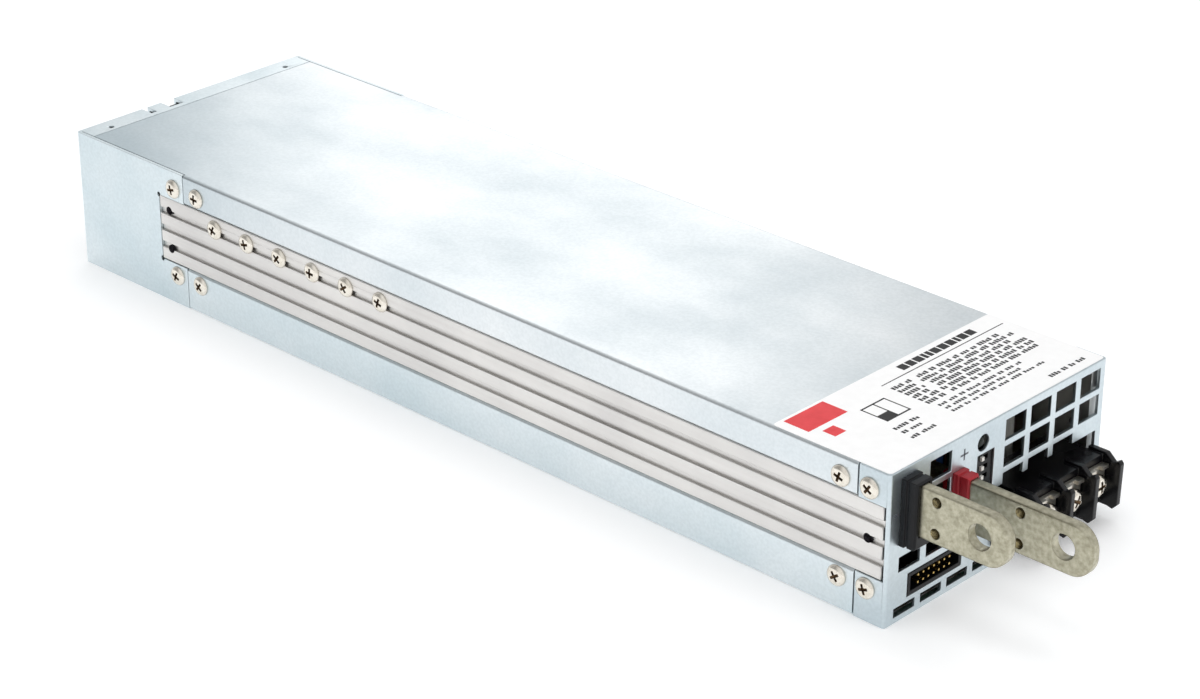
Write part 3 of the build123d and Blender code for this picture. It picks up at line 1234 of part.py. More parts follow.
with BuildPart() as filter_capacitor:
    box_on_board(FILTER_X, FILTER_Y, FILTER_CAPACITOR)
save(filter_capacitor, "filter_capacitor")

with BuildPart() as inrush_relay:
    box_on_board(FILTER_X, RELAY_Y, INRUSH_RELAY)
save(inrush_relay, "inrush_relay")

with BuildPart() as line_fuse:
    fuse_x = FRONT_X - FUSE_FRONT
    rod(left_plane(fuse_x, FUSE_Y + FUSE_LENGTH / 2, BOARD_TOP + FUSE_Z), FUSE_R, FUSE_LENGTH)
    for cap_y in (FUSE_Y - FUSE_LENGTH / 2, FUSE_Y + FUSE_LENGTH / 2 - FUSE_CAP):
        slab(
            (fuse_x - FUSE_R, cap_y, BOARD_TOP),
            (fuse_x + FUSE_R, cap_y + FUSE_CAP, BOARD_TOP + FUSE_Z),
        )
save(line_fuse, "line_fuse")
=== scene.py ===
# %% [markdown]
# # Dressing a rack battery charger
# The metal and plastic bodies come in as a fixed frame, at their real size and in metres.
# Nothing in that frame is moved. This lesson gives every body its finish, replaces a few of
# them by copies with softened edges, adds the print, the threads and the screw heads, and lights
# the result as a small product on a white table.

# %% Load the frame
import math
import random

import bmesh
import bpy
from mathutils import Matrix, Vector


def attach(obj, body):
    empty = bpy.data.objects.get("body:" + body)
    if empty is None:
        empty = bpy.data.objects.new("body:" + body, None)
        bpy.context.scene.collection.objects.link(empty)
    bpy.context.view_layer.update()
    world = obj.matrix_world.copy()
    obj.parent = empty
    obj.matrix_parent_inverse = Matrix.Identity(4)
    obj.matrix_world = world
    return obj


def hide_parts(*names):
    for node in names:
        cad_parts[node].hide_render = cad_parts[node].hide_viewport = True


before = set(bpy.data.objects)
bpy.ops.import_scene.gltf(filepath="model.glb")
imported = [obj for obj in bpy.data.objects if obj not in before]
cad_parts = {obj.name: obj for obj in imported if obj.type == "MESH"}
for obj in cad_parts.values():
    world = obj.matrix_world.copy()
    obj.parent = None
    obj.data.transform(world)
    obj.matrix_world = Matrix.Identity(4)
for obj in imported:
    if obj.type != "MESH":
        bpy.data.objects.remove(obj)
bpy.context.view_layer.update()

# %% [markdown]
# ## Small tools
# Sizes are easier to think about in millimetres, so one value turns them to metres. Colours are
# given as sRGB hex values, but the shader works in linear light, so one function turns
# them round. Every material is a little graph. One function adds a node to it, sets its sockets
# and links its inputs, and the ones after it make the few groups of nodes that come back often.

# %% Units, colour and node helpers
MM = 0.001


def linear(hex_colour):
    """An sRGB hex colour as the linear values that a shader socket wants."""
    parts = [int(hex_colour[i:i + 2], 16) / 255 for i in (1, 3, 5)]
    return tuple(c / 12.92 if c <= 0.04045 else ((c + 0.055) / 1.055) ** 2.4
                 for c in parts) + (1.0,)


def add_node(tree, kind, settings=None, **links):
    """Adds a node, sets attributes and sockets from settings, and links inputs by name."""
    made = tree.nodes.new(kind)
    for key, value in (settings or {}).items():
        if isinstance(key, str) and hasattr(made, key) and key not in made.inputs:
            setattr(made, key, value)
        else:
            made.inputs[key].default_value = value
    for key, source in links.items():
        name = key.replace("_", " ")
        target = made.inputs[int(name[3:])] if name.startswith("at ") else made.inputs[name]
        tree.links.new(source, target)
    return made


def ramp(tree, source, stops):
    """The colour of a ramp with (place, hex colour) stops, driven by a source value."""
    made = add_node(tree, "ShaderNodeValToRGB", Fac=source)
    band = made.color_ramp
    while len(band.elements) < len(stops):
        band.elements.new(0.5)
    for element, (place, colour) in zip(band.elements, stops):
        element.position = place
        element.color = linear(colour)
    return made.outputs["Color"]


def levels(tree, source, low, high, low_in=0.3, high_in=0.7):
    """Maps a value from one range onto another, with even steps between the two."""
    made = add_node(tree, "ShaderNodeMapRange",
                    {"From Min": low_in, "From Max": high_in, "To Min": low, "To Max": high},
                    Value=source)
    return made.outputs["Result"]


def combined(tree, operation, first, second):
    """Two values combined by an operation of the Math node."""
    return add_node(tree, "ShaderNodeMath", {"operation": operation},
                    at_0=first, at_1=second).outputs[0]


def multiplied(tree, factor, first, second):
    """A colour multiplied by a second one, as far as the factor says."""
    made = add_node(tree, "ShaderNodeMix",
                    {"data_type": "RGBA", "blend_type": "MULTIPLY", "Factor": factor},
                    at_6=first, at_7=second)
    return made.outputs[2]


def blended(tree, factor, low, high):
    """A value between low and high, each of them a source or a number, by a factor."""
    made = add_node(tree, "ShaderNodeMix", {"data_type": "FLOAT"}, Factor=factor)
    for place, value in ((2, low), (3, high)):
        if isinstance(value, float):
            made.inputs[place].default_value = value
        else:
            tree.links.new(value, made.inputs[place])
    return made.outputs[0]


def new_material(name):
    """A material with one Principled shader, and the object's own coordinates in metres."""
    made = bpy.data.materials.new(name)
    made.use_nodes = True
    tree = made.node_tree
    shader = tree.nodes["Principled BSDF"]
    place = tree.nodes.new("ShaderNodeTexCoord").outputs["Object"]
    return made, tree, shader, place


def noise(tree, place, size_mm, detail=2.0, stretch=(1, 1, 1), roughness=0.5):
    """Noise whose patches are about size_mm across, stretched along an axis if wanted."""
    scaled = add_node(tree, "ShaderNodeMapping",
                      {"Scale": tuple(1 / (size_mm * MM * s) for s in stretch)}, Vector=place)
    made = add_node(tree, "ShaderNodeTexNoise",
                    {"Scale": 1.0, "Detail": detail, "Roughness": roughness},
                    Vector=scaled.outputs["Vector"])
    return made.outputs["Fac"]


def bump(tree, shader, source, height_mm, strength):
    """A bump of a real height in millimetres on the shader's normal."""
    made = add_node(tree, "ShaderNodeBump", {"Distance": height_mm * MM, "Strength": strength},
                    Height=source)
    tree.links.new(made.outputs["Normal"], shader.inputs["Normal"])


def surface(tree, shader, colour, roughness, metallic=0.0):
    """Gives a shader its colour, its roughness as a source or a number, and its metallic."""
    tree.links.new(colour, shader.inputs["Base Color"])
    if isinstance(roughness, float):
        shader.inputs["Roughness"].default_value = roughness
    else:
        tree.links.new(roughness, shader.inputs["Roughness"])
    shader.inputs["Metallic"].default_value = metallic


def paint(material, *names):
    """Puts one material on each named CAD node, and gives it back."""
    for name in names:
        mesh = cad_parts[name].data
        mesh.materials.clear()
        mesh.materials.append(material)
    return material


print("helpers ready; one millimetre is", MM, "metres")

# %% [markdown]
# ## Zinc-plated steel sheet
# The housing and both covers are cold-rolled steel with a bright zinc coat. It is a pale,
# slightly blue metal. The bath leaves cloudy patches a few centimetres wide, in which the coat
# is duller, and fine specks from the rolled steel below. Both are noise on the roughness and a
# slight change of colour. On the lid a round gradient darkens the coat towards the rear left
# corner, which is painted shade. The lid gets a lighter copy of the zinc as painted light on
# the top, and the front panel a darker copy as painted shade. Metallic is 1, because the coat is
# bare metal.

# %% Zinc coat
CLOUDS_MM = 34
SPECKS_MM = 0.9
SPECK_SHARE = 0.6
# Painted shade: the lid's coat darkens in a round gradient towards this corner, over this reach.
LID_SHADE_CORNER = (-165, -80, 60)
SHADE_REACH = 125


def zinc_coat(name, dull, bright, rough_low, rough_high, shade_tone="#ffffff"):
    """Zinc with cloudy patches and fine specks, and painted shade towards one corner if a shade
    tone is given.
    """
    made, tree, shader, place = new_material(name)
    clouds = noise(tree, place, CLOUDS_MM, detail=3, stretch=(1.4, 1, 1), roughness=0.55)
    specks = noise(tree, place, SPECKS_MM)
    tone = ramp(tree, clouds, [(0.30, dull), (0.72, bright)])
    fleck = ramp(tree, specks, [(0.35, "#f1f2f2"), (0.65, "#ffffff")])
    # Painted shade: a round gradient towards the corner multiplies the coat by the shade tone.
    from_shade_corner = add_node(tree, "ShaderNodeMapping",
                           {"Location": tuple(-c / SHADE_REACH for c in LID_SHADE_CORNER),
                            "Scale": (1 / (SHADE_REACH * MM),) * 3}, Vector=place)
    near_shade_corner = add_node(tree, "ShaderNodeTexGradient", {"gradient_type": "SPHERICAL"},
                           Vector=from_shade_corner.outputs["Vector"])
    corner = ramp(tree, near_shade_corner.outputs["Fac"], [(0.0, "#ffffff"), (0.55, shade_tone)])
    coat = multiplied(tree, 1.0, multiplied(tree, SPECK_SHARE, tone, fleck), corner)
    surface(tree, shader, coat, levels(tree, clouds, rough_low, rough_high), metallic=1.0)
    bump(tree, shader, specks, 0.004, 0.35)
    return made


ZINC = paint(zinc_coat("zinc_plated_steel_sheet", "#cad7dc", "#dde4e7", 0.40, 0.30),
             "rear_housing", "bottom_cover")
# Painted light: the lid gets a lighter, less blue copy of the zinc for the lit top, with painted
# shade towards its rear left corner.
ZINC_LID_PAINTED_LIGHT = paint(zinc_coat("zinc_plated_steel_lid_painted_light", "#d2dade", "#e2e6e8", 0.37, 0.29, "#ced7db"),
                 "top_cover")
# Painted shade: the front panel and press nuts get a darker, duller copy of the zinc for the
# shaded front.
ZINC_PANEL_PAINTED_SHADE = paint(zinc_coat("zinc_plated_steel_panel_painted_shade", "#c3cfd5", "#d3dce0", 0.46, 0.34),
                   "front_panel", "press_nuts")
print("made", ZINC.name, ZINC_LID_PAINTED_LIGHT.name, "and", ZINC_PANEL_PAINTED_SHADE.name)

# %% [markdown]
# ## Extruded aluminium
# The side rails and the inner heat sink are pushed through a die and left bare. The die leaves
# fine lines along the whole length. They are noise stretched along X, a few hundredths of a
# millimetre deep. The metal is warmer and greyer than zinc.

# %% Extruded aluminium
DIE_LINES_MM = 0.8
DIE_STRETCH = (120, 1, 1)
HANDLING_MM = 30

ALUMINIUM, tree, shader, place = new_material("extruded_aluminium_mill_finish")
die_lines = noise(tree, place, DIE_LINES_MM, detail=3, stretch=DIE_STRETCH)
handling = noise(tree, place, HANDLING_MM, detail=3)
surface(tree, shader, ramp(tree, handling, [(0.3, "#cfcdcb"), (0.7, "#dedcd9")]),
        levels(tree, die_lines, 0.50, 0.36), metallic=1.0)
bump(tree, shader, die_lines, 0.02, 0.5)
paint(ALUMINIUM, "left_heatsink", "right_heatsink", "rectifier_heatsink")
print("made", ALUMINIUM.name)

# %% [markdown]
# ## Plated fasteners and bars
# Screws are steel with bright nickel, which is a little yellow. The bus bars are copper with a
# thicker, satin nickel coat, which has a khaki tone with cloudy patches from the bath. The
# hex pillars are bare brass. The threads in the bars are brass coloured and darkened as painted
# shade inside the holes. The walls of screw recesses and the threads in the rails are painted
# shade in dark brown and near black.

# %% Nickel, brass and tin
GRAIN_SHARE = 1 / 8


def plated(name, low, high, patch_mm, rough, rough_spread, bump_mm=0.004):
    """A metal whose colour and roughness differ a little from patch to patch."""
    made, tree, shader, place = new_material(name)
    patches = noise(tree, place, patch_mm, detail=4, roughness=0.6)
    surface(tree, shader, ramp(tree, patches, [(0.32, low), (0.68, high)]),
            levels(tree, patches, rough + rough_spread, rough), metallic=1.0)
    bump(tree, shader, noise(tree, place, patch_mm * GRAIN_SHARE), bump_mm, 0.5)
    return made


NICKEL = paint(plated("bright_nickel_plated_steel", "#d6cfc2", "#ebe6dc", 1.6, 0.18, 0.08),
               "case_screws", "device_screws", "fan_screws", "board_screws", "device_nuts",
               "terminal_screw_1", "terminal_screw_2", "terminal_screw_3")
BAR_NICKEL = paint(plated("satin_nickel_plated_copper", "#9a9682", "#bcb8a4", 1.3, 0.33, 0.12,
                           0.012),
                   "negative_bus_bar", "positive_bus_bar")
# Painted shade: dark brown for the walls of the cross recesses in the screw heads.
RECESS_SHADE = plated("shaded_screw_recess", "#453627", "#6b5641", 0.8, 0.45, 0.15)
# The bar threads are brass coloured, darkened as painted shade inside the holes.
THREAD_WITH_SHADE = plated("tapped_thread", "#4a4332", "#a3966f", 0.7, 0.22, 0.15)
# Painted shade: near black for the thread sleeves in the rail holes.
HOLE_THREAD_SHADE = plated("shaded_hole_thread", "#17161a", "#3a383c", 0.7, 0.35, 0.25)
BRASS = paint(plated("turned_brass", "#b49a5c", "#cdb679", 2, 0.26, 0.10), "board_standoffs")
TIN = paint(plated("tin_plated_brass", "#c3bdb2", "#d8d3c8", 2, 0.28, 0.10),
            "terminal_contacts", "terminal_clamp_1", "terminal_clamp_2", "terminal_clamp_3")
GOLD = paint(plated("gold_flashed_pin", "#c8a45a", "#e0c07a", 1, 0.24, 0.08),
             "signal_connector_pins")
print("made", [m.name for m in (NICKEL, BAR_NICKEL, RECESS_SHADE, THREAD_WITH_SHADE, HOLE_THREAD_SHADE, BRASS, TIN,
                               GOLD)])

# %% [markdown]
# ## Moulded plastics
# A moulding has a dull sheen with a fine spark-eroded grain from the tool. Grain and sheen
# differ from one resin to the next: the terminal block is a glossy polyester, the fans are a
# drier glass-filled one. One function makes them all from a colour, a roughness and a grain,
# and a table says which pieces get which. Pads, cores and sleeves of a like surface are there
# too.

# %% Plastics
FLOW_MM = 14
FLOW_ROUGHENS = 0.08
RESIN_IOR = 1.52


def moulded(name, colour, lighter, rough, grain_mm=0.35, grain_height=0.006, specular=0.5):
    """A resin with slow changes of tone from its flow and a fine grain from its tool."""
    made, tree, shader, place = new_material(name)
    grain = noise(tree, place, grain_mm)
    flow = noise(tree, place, FLOW_MM)
    surface(tree, shader, ramp(tree, flow, [(0.3, colour), (0.7, lighter)]),
            levels(tree, flow, rough, rough + FLOW_ROUGHENS))
    shader.inputs["IOR"].default_value = RESIN_IOR
    shader.inputs["Specular IOR Level"].default_value = specular
    bump(tree, shader, grain, grain_height, 0.5)
    return made


# Each row: material, colour, lighter colour, roughness, what differs from the defaults, nodes.
MOULDINGS = (
    ("black_polyester_moulding", "#09090b", "#101013", 0.22, {"specular": 0.3},
     ("terminal_block",)),
    ("black_nylon_moulding", "#08080b", "#0f1013", 0.30, {"specular": 0.2},
     ("negative_insulator", "signal_connector_shell", "dip_switch_body")),
    ("red_nylon_moulding", "#961c26", "#a8262f", 0.36, {"specular": 0.3},
     ("positive_insulator",)),
    ("black_glass_filled_moulding", "#141414", "#1d1d1d", 0.5,
     {"grain_mm": 0.5, "grain_height": 0.01},
     ("fan_frame_1", "fan_frame_2", "fan_rotor_1", "fan_rotor_2")),
    ("white_nylon_moulding", "#e6e5df", "#f1f0ea", 0.4, {},
     ("dip_slider_1", "dip_slider_2", "dip_slider_3", "dip_slider_4")),
    ("black_epoxy_package", "#1a1a1b", "#232324", 0.55, {"grain_mm": 0.2, "grain_height": 0.008},
     ("power_transistors", "control_chips")),
    ("dark_grey_relay_case", "#24262a", "#2d3034", 0.42, {}, ("inrush_relay",)),
    ("glazed_ceramic_tube", "#dedbd0", "#eae7dd", 0.25, {}, ("line_fuse",)),
    ("sintered_ferrite", "#2b2b2e", "#3a3a3e", 0.62, {"grain_mm": 0.25, "grain_height": 0.01},
     ("resonant_choke_core", "transformer_core")),
    ("blue_epoxy_coated_core", "#25406e", "#2f4f84", 0.4, {},
     ("boost_choke_core", "line_choke_core")),
    ("yellow_capacitor_case", "#cdb23c", "#dcc34d", 0.38, {}, ("filter_capacitor",)),
    ("grey_silicone_pad", "#8f9aa2", "#a3adb4", 0.7, {"grain_mm": 0.3, "grain_height": 0.01},
     ("thermal_pads",)),
    ("smoked_insulating_film", "#2c2723", "#383028", 0.35, {}, ("insulating_film",)),
    ("smoked_lamp_lens", "#0b120e", "#101a14", 0.3, {"specular": 0.3}, ("status_lamp",)))
for name, colour, lighter, rough, differing, nodes in MOULDINGS:
    paint(moulded(name, colour, lighter, rough, **differing), *nodes)
print("made", len(bpy.data.materials), "materials so far")

# %% [markdown]
# ## Parts with a wound or printed surface
# Copper wire lies in turns about a millimetre apart, and tape is wrapped with a visible lap
# every few millimetres. Both are wave textures across the wrapping direction. A capacitor has
# a thin shrunk sleeve with a paler stripe. The board is green lacquer with copper tracks below,
# which show as a faint pattern of straight lines.

# %% Windings, sleeves and boards
WAVE_UNITS = 10


def banded(name, low, high, pitch_mm, axis, rough, metallic, depth):
    """A surface of bands a pitch apart along an axis, such as wire, tape or a seam."""
    made, tree, shader, place = new_material(name)
    turns = add_node(tree, "ShaderNodeTexWave",
                     {"wave_type": "BANDS", "bands_direction": axis,
                      "Scale": 1 / (pitch_mm * MM * WAVE_UNITS) * math.pi, "Distortion": 0.3,
                      "Detail": 1.0}, Vector=place).outputs["Fac"]
    surface(tree, shader, ramp(tree, turns, [(0.15, low), (0.85, high)]), rough, metallic)
    bump(tree, shader, turns, depth, 0.6)
    return made


# Each row: material, colour, lighter colour, pitch, axis, roughness, metallic, depth, nodes.
BANDED = (
    ("enamelled_copper_wire", "#6d3318", "#b0643a", 1.0, "X", 0.3, 0.6, 0.2,
     ("boost_choke_winding", "line_choke_winding")),
    ("yellow_polyester_tape", "#c7a422", "#d9b93a", 6.0, "Z", 0.32, 0.0, 0.05,
     ("resonant_choke_winding", "transformer_winding")),
    ("dark_blue_shrink_sleeve", "#131828", "#1a2034", 18.0, "Y", 0.3, 0.0, 0.01,
     ("bulk_capacitors", "output_capacitors")),
    ("grey_shrink_sleeve", "#9d9d98", "#b3b3ad", 12.0, "Y", 0.35, 0.0, 0.01,
     ("line_capacitor",)))
for *look, nodes in BANDED:
    print("made", paint(banded(*look), *nodes).name)


def lacquered_board(name, mask, track):
    """Lacquer over straight copper tracks, which show through as a paler pattern."""
    made, tree, shader, place = new_material(name)
    scaled = add_node(tree, "ShaderNodeMapping", {"Scale": (1 / MM, 1 / MM, 1 / MM)},
                      Vector=place)
    tracks = add_node(tree, "ShaderNodeTexBrick",
                      {"Color1": linear(mask), "Color2": linear(track),
                       "Mortar": linear(mask), "Scale": 1.0, "Mortar Size": 0.16,
                       "Brick Width": 9.0, "Row Height": 1.6},
                      Vector=scaled.outputs["Vector"])
    surface(tree, shader, tracks.outputs["Color"], levels(tree, noise(tree, place, 5), 0.3, 0.42))
    bump(tree, shader, tracks.outputs["Fac"], 0.03, 0.4)
    return made


BOARD = paint(lacquered_board("green_lacquered_board", "#12402a", "#1b5637"),
              "main_board", "control_board", "panel_board")
print("made", BOARD.name)

# %% [markdown]
# ## Label film and inks
# The label is a white plastic film with a satin face. Its print is black and red ink. White
# film is never pure white, so its colour leaves room for the light.

# %% Film and ink
FIBRE_MM = 2.5


def printed(name, low, high, rough):
    """A film or an ink on it, with a faint unevenness."""
    made, tree, shader, place = new_material(name)
    fibre = noise(tree, place, FIBRE_MM, detail=3)
    surface(tree, shader, ramp(tree, fibre, [(0.3, low), (0.7, high)]), rough)
    bump(tree, shader, fibre, 0.003, 0.3)
    return made


paint(printed("white_label_film", "#f6f6f6", "#fafafa", 0.45), "label")
BLACK_INK = printed("black_label_ink", "#0d0d0f", "#151518", 0.55)
GREY_INK = printed("grey_panel_ink", "#5b6066", "#6b7077", 0.55)
RED_INK = printed("red_label_ink", "#d5222b", "#df3038", 0.45)
print("nodes without a material:",
      [n for n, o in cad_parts.items() if len(o.data.materials) == 0])

# %% [markdown]
# ## Softened edges
# A folded or moulded edge is never sharp. It catches a thin line of light, and without that
# line a metal box looks like paper. The CAD bodies are sharp, so the ones in plain view are
# copied, their loose triangles are joined up, and a narrow bevel goes along every sharp edge.
# On the rails it leaves edges under two millimetres alone, and so the small holes too. The copy
# then stands for the body. A bevel is chosen over a shader trick because it is real shape and
# goes with the model.

# %% Soften the folded, extruded and moulded pieces
CREASE = math.radians(35)
WELD = 0.004 * MM


def activate(piece, mode="OBJECT"):
    """Makes one object the only selected and active one, and goes to a mode."""
    if bpy.context.object and bpy.context.object.mode != "OBJECT":
        bpy.ops.object.mode_set(mode="OBJECT")
    bpy.ops.object.select_all(action="DESELECT")
    piece.hide_set(False)
    piece.select_set(True)
    bpy.context.view_layer.objects.active = piece
    if mode != "OBJECT":
        bpy.ops.object.mode_set(mode=mode)


def apply_modifier(piece, kind, **settings):
    """Adds one modifier to the active object, sets it and applies it."""
    made = piece.modifiers.new(kind.title(), kind)
    for key, value in settings.items():
        setattr(made, key, value)
    bpy.ops.object.modifier_apply(modifier=made.name)


def placed_copy(name, model, transform):
    """A copy of a model with a mesh of its own, moved by a transform in metres."""
    made = bpy.data.objects.new(name, model.data.copy())
    bpy.context.scene.collection.objects.link(made)
    made.data.transform(transform)
    return made


def join(pieces, name):
    """Joins pieces into one and names it."""
    activate(pieces[0])
    for piece in pieces:
        piece.select_set(True)
    bpy.ops.object.join()
    joined = bpy.context.object
    joined.name = name
    return joined


def weigh_long_edges(mesh, shortest_mm):
    """Gives a bevel weight to each sharp edge that is long enough to show."""
    shape = bmesh.new()
    shape.from_mesh(mesh)
    weight = shape.edges.layers.float.new("bevel_weight_edge")
    for edge in shape.edges:
        sharp = edge.calc_face_angle(0.0) > CREASE
        edge[weight] = 1.0 if sharp and edge.calc_length() > shortest_mm * MM else 0.0
    shape.to_mesh(mesh)
    shape.free()


def soften(node_name, body, radius_mm, shortest_mm):
    """A copy of a CAD node with narrow rounded edges, which stands for the node."""
    piece = placed_copy(node_name + "_softened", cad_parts[node_name], Matrix.Identity(4))
    activate(piece, "EDIT")
    bpy.ops.mesh.select_all(action="SELECT")
    bpy.ops.mesh.remove_doubles(threshold=WELD)
    bpy.ops.object.mode_set(mode="OBJECT")
    weigh_long_edges(piece.data, shortest_mm)
    apply_modifier(piece, "BEVEL", width=radius_mm * MM, segments=2, limit_method="WEIGHT",
                   use_clamp_overlap=False, loop_slide=False)
    bpy.ops.object.shade_smooth_by_angle(angle=CREASE)
    apply_modifier(piece, "WEIGHTED_NORMAL", mode="FACE_AREA", weight=90, keep_sharp=True)
    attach(piece, body)
    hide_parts(node_name)
    return piece


# Each row: node, slot, width of the bevel and shortest edge that gets it, in millimetres.
SOFTENED = (
    ("rear_housing", "zinc_steel", 0.12, 0), ("top_cover", "zinc_steel", 0.12, 0),
    ("bottom_cover", "zinc_steel", 0.12, 0), ("front_panel", "zinc_steel", 0.16, 0),
    ("left_heatsink", "rail_aluminium", 0.28, 2), ("right_heatsink", "rail_aluminium", 0.28, 2),
    ("negative_bus_bar", "nickel_bar", 0.30, 0), ("positive_bus_bar", "nickel_bar", 0.30, 0),
    ("negative_insulator", "black_moulding", 0.16, 0),
    ("positive_insulator", "red_moulding", 0.16, 0),
    ("terminal_block", "black_moulding", 0.20, 0),
    ("signal_connector_shell", "black_moulding", 0.10, 0),
    ("dip_switch_body", "black_moulding", 0.08, 0))
for node_name, slot, radius_mm, shortest_mm in SOFTENED:
    piece = soften(node_name, "case", radius_mm, shortest_mm)
    print(piece.name, len(piece.data.polygons), "faces")

# %% [markdown]
# ## Screw heads
# A pan head is turned in one go: a thin rim, a quick curve and a flat dome. Half of its outline
# is drawn as a row of points and spun round the axis. The cross recess is cut after that with a
# tapered cross, and its walls get a dark brown as painted shade. One head with its shank is
# modelled and then copied to every screw of a row, each copy with its own mesh.

# %% One pan-head screw, modelled along Z
HEAD_RADIUS = 2.8
HEAD_HEIGHT = 1.1
SHANK_RADIUS = 1.45
HEAD_OUTLINE = ((0.0, HEAD_HEIGHT), (1.1, HEAD_HEIGHT - 0.03), (1.9, HEAD_HEIGHT - 0.16),
                (2.45, HEAD_HEIGHT - 0.42), (2.72, HEAD_HEIGHT - 0.72), (HEAD_RADIUS, 0.22),
                (HEAD_RADIUS, 0.06), (HEAD_RADIUS - 0.06, 0.0), (SHANK_RADIUS, 0.0))
RECESS_DEPTH = 0.85
ARM_END_TAPER = 0.45
ARM_SIDE_TAPER = 0.8
SHANK_TIP = 0.4
RIM_BEVEL = 0.05
WALL_MARGIN = 0.2
SEAM_WELD = 0.001 * MM


def turned(name, outline, steps=40):
    """Spins an outline of (radius, height) points in millimetres round the Z axis."""
    bpy.ops.object.select_all(action="DESELECT")
    bpy.ops.mesh.primitive_plane_add(size=MM)
    piece = bpy.context.object
    piece.name = name
    mesh = bmesh.new()
    points = [mesh.verts.new((r * MM, 0, z * MM)) for r, z in outline]
    for first, second in zip(points, points[1:]):
        mesh.edges.new((first, second))
    mesh.to_mesh(piece.data)
    mesh.free()
    activate(piece, "EDIT")
    bpy.ops.mesh.select_all(action="SELECT")
    bpy.ops.mesh.spin(steps=steps, angle=2 * math.pi, center=(0, 0, 0), axis=(0, 0, 1))
    bpy.ops.mesh.select_all(action="SELECT")
    bpy.ops.mesh.remove_doubles(threshold=SEAM_WELD)
    bpy.ops.mesh.normals_make_consistent(inside=False)
    bpy.ops.object.mode_set(mode="OBJECT")
    return piece


def cross_cutters(length_mm, width_mm, top_mm):
    """The two tapered arms of a cross whose mouth is at top_mm, for cutting a recess."""
    arms = []
    middle = (top_mm - RECESS_DEPTH / 2) * MM
    for turn in (0, math.pi / 2):
        bpy.ops.object.select_all(action="DESELECT")
        bpy.ops.mesh.primitive_cube_add(size=1, location=(0, 0, middle))
        arm = bpy.context.object
        arm.scale = (length_mm * MM, width_mm * MM, RECESS_DEPTH * MM)
        arm.rotation_euler.z = turn
        bpy.ops.object.transform_apply(location=True, rotation=True, scale=True)
        for vertex in arm.data.vertices:
            if vertex.co.z < middle:
                at_end = [abs(v) > width_mm * MM for v in vertex.co[:2]]
                vertex.co.x *= ARM_END_TAPER if at_end[0] else ARM_SIDE_TAPER
                vertex.co.y *= ARM_END_TAPER if at_end[1] else ARM_SIDE_TAPER
        arms.append(arm)
    return arms


def pan_head_screw(name, outline, shank_radius, shank_length, recess_length, recess_width):
    """A turned head with a shank below it and a cross recess in its top."""
    tip_radius = shank_radius - SHANK_TIP
    screw = turned(name, outline + ((shank_radius, -shank_length + SHANK_TIP),
                                    (tip_radius, -shank_length), (0.0, -shank_length)))
    top = outline[0][1]
    for cutter in cross_cutters(recess_length, recess_width, top + 0.01):
        activate(screw)
        apply_modifier(screw, "BOOLEAN", operation="DIFFERENCE", solver="EXACT", object=cutter)
        bpy.data.objects.remove(cutter)
    activate(screw)
    apply_modifier(screw, "BEVEL", width=RIM_BEVEL * MM, segments=1, limit_method="ANGLE",
                   angle_limit=math.radians(50))
    bpy.ops.object.shade_smooth_by_angle(angle=math.radians(40))
    screw.data.materials.clear()
    screw.data.materials.append(NICKEL)
    screw.data.materials.append(RECESS_SHADE)
    # Faces inside the cross recess get the dark painted shade.
    for face in screw.data.polygons:
        below_top = WALL_MARGIN * MM < face.center.z < (top - WALL_MARGIN) * MM
        in_recess = math.hypot(face.center.x, face.center.y) < recess_length / 2 * MM
        face.material_index = 1 if below_top and in_recess else 0
    return screw


model_screw = pan_head_screw("pan_head_screw", HEAD_OUTLINE, SHANK_RADIUS, shank_length=4.6,
                             recess_length=3.1, recess_width=0.72)
print("model screw", len(model_screw.data.polygons), "faces")

# %% Copies of the screw on both sides
SIDE_FACE = 42.5
RAIL_FACE = 42.3
CASE_SCREW_PLACES = [(x, z) for x in (-107.2, -97.2, 135.3, 144.0) for z in (8.9, 35.7)]
DEVICE_SCREW_PLACES = [(-90.0 + 13.5 * n, 28.4) for n in range(6)]
RECESS_TURN = 37
RECESS_TURN_BY_SIDE = 23


def set_screws(name, model, places, face, node_name):
    """Copies of a screw on the left and the right face, joined into one piece."""
    copies = []
    for index, (x, z) in enumerate(places):
        for side in (-1, 1):
            turn = (RECESS_TURN * index + RECESS_TURN_BY_SIDE * side) % 90
            copies.append(placed_copy(f"{name}_{index}_{side}", model,
                                      Matrix.Translation(Vector((x, side * face, z)) * MM)
                                      @ Matrix.Rotation(-side * math.pi / 2, 4, "X")
                                      @ Matrix.Rotation(math.radians(turn), 4, "Z")))
    joined = join(copies, name)
    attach(joined, "case")
    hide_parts(node_name)
    return joined


case_set = set_screws("case_pan_screws", model_screw, CASE_SCREW_PLACES, SIDE_FACE, "case_screws")
device_set = set_screws("device_pan_screws", model_screw, DEVICE_SCREW_PLACES, RAIL_FACE,
                        "device_screws")
bpy.data.objects.remove(model_screw)
for piece in (case_set, device_set):
    print(piece.name, len(piece.data.polygons), "faces")

# %% [markdown]
# ## Terminal screws
# The three terminal screws are larger, with a higher dome. Each of them turns on its own, so
# each is a piece of its own on its own body, and their recesses stand at different angles as
# they do after tightening.

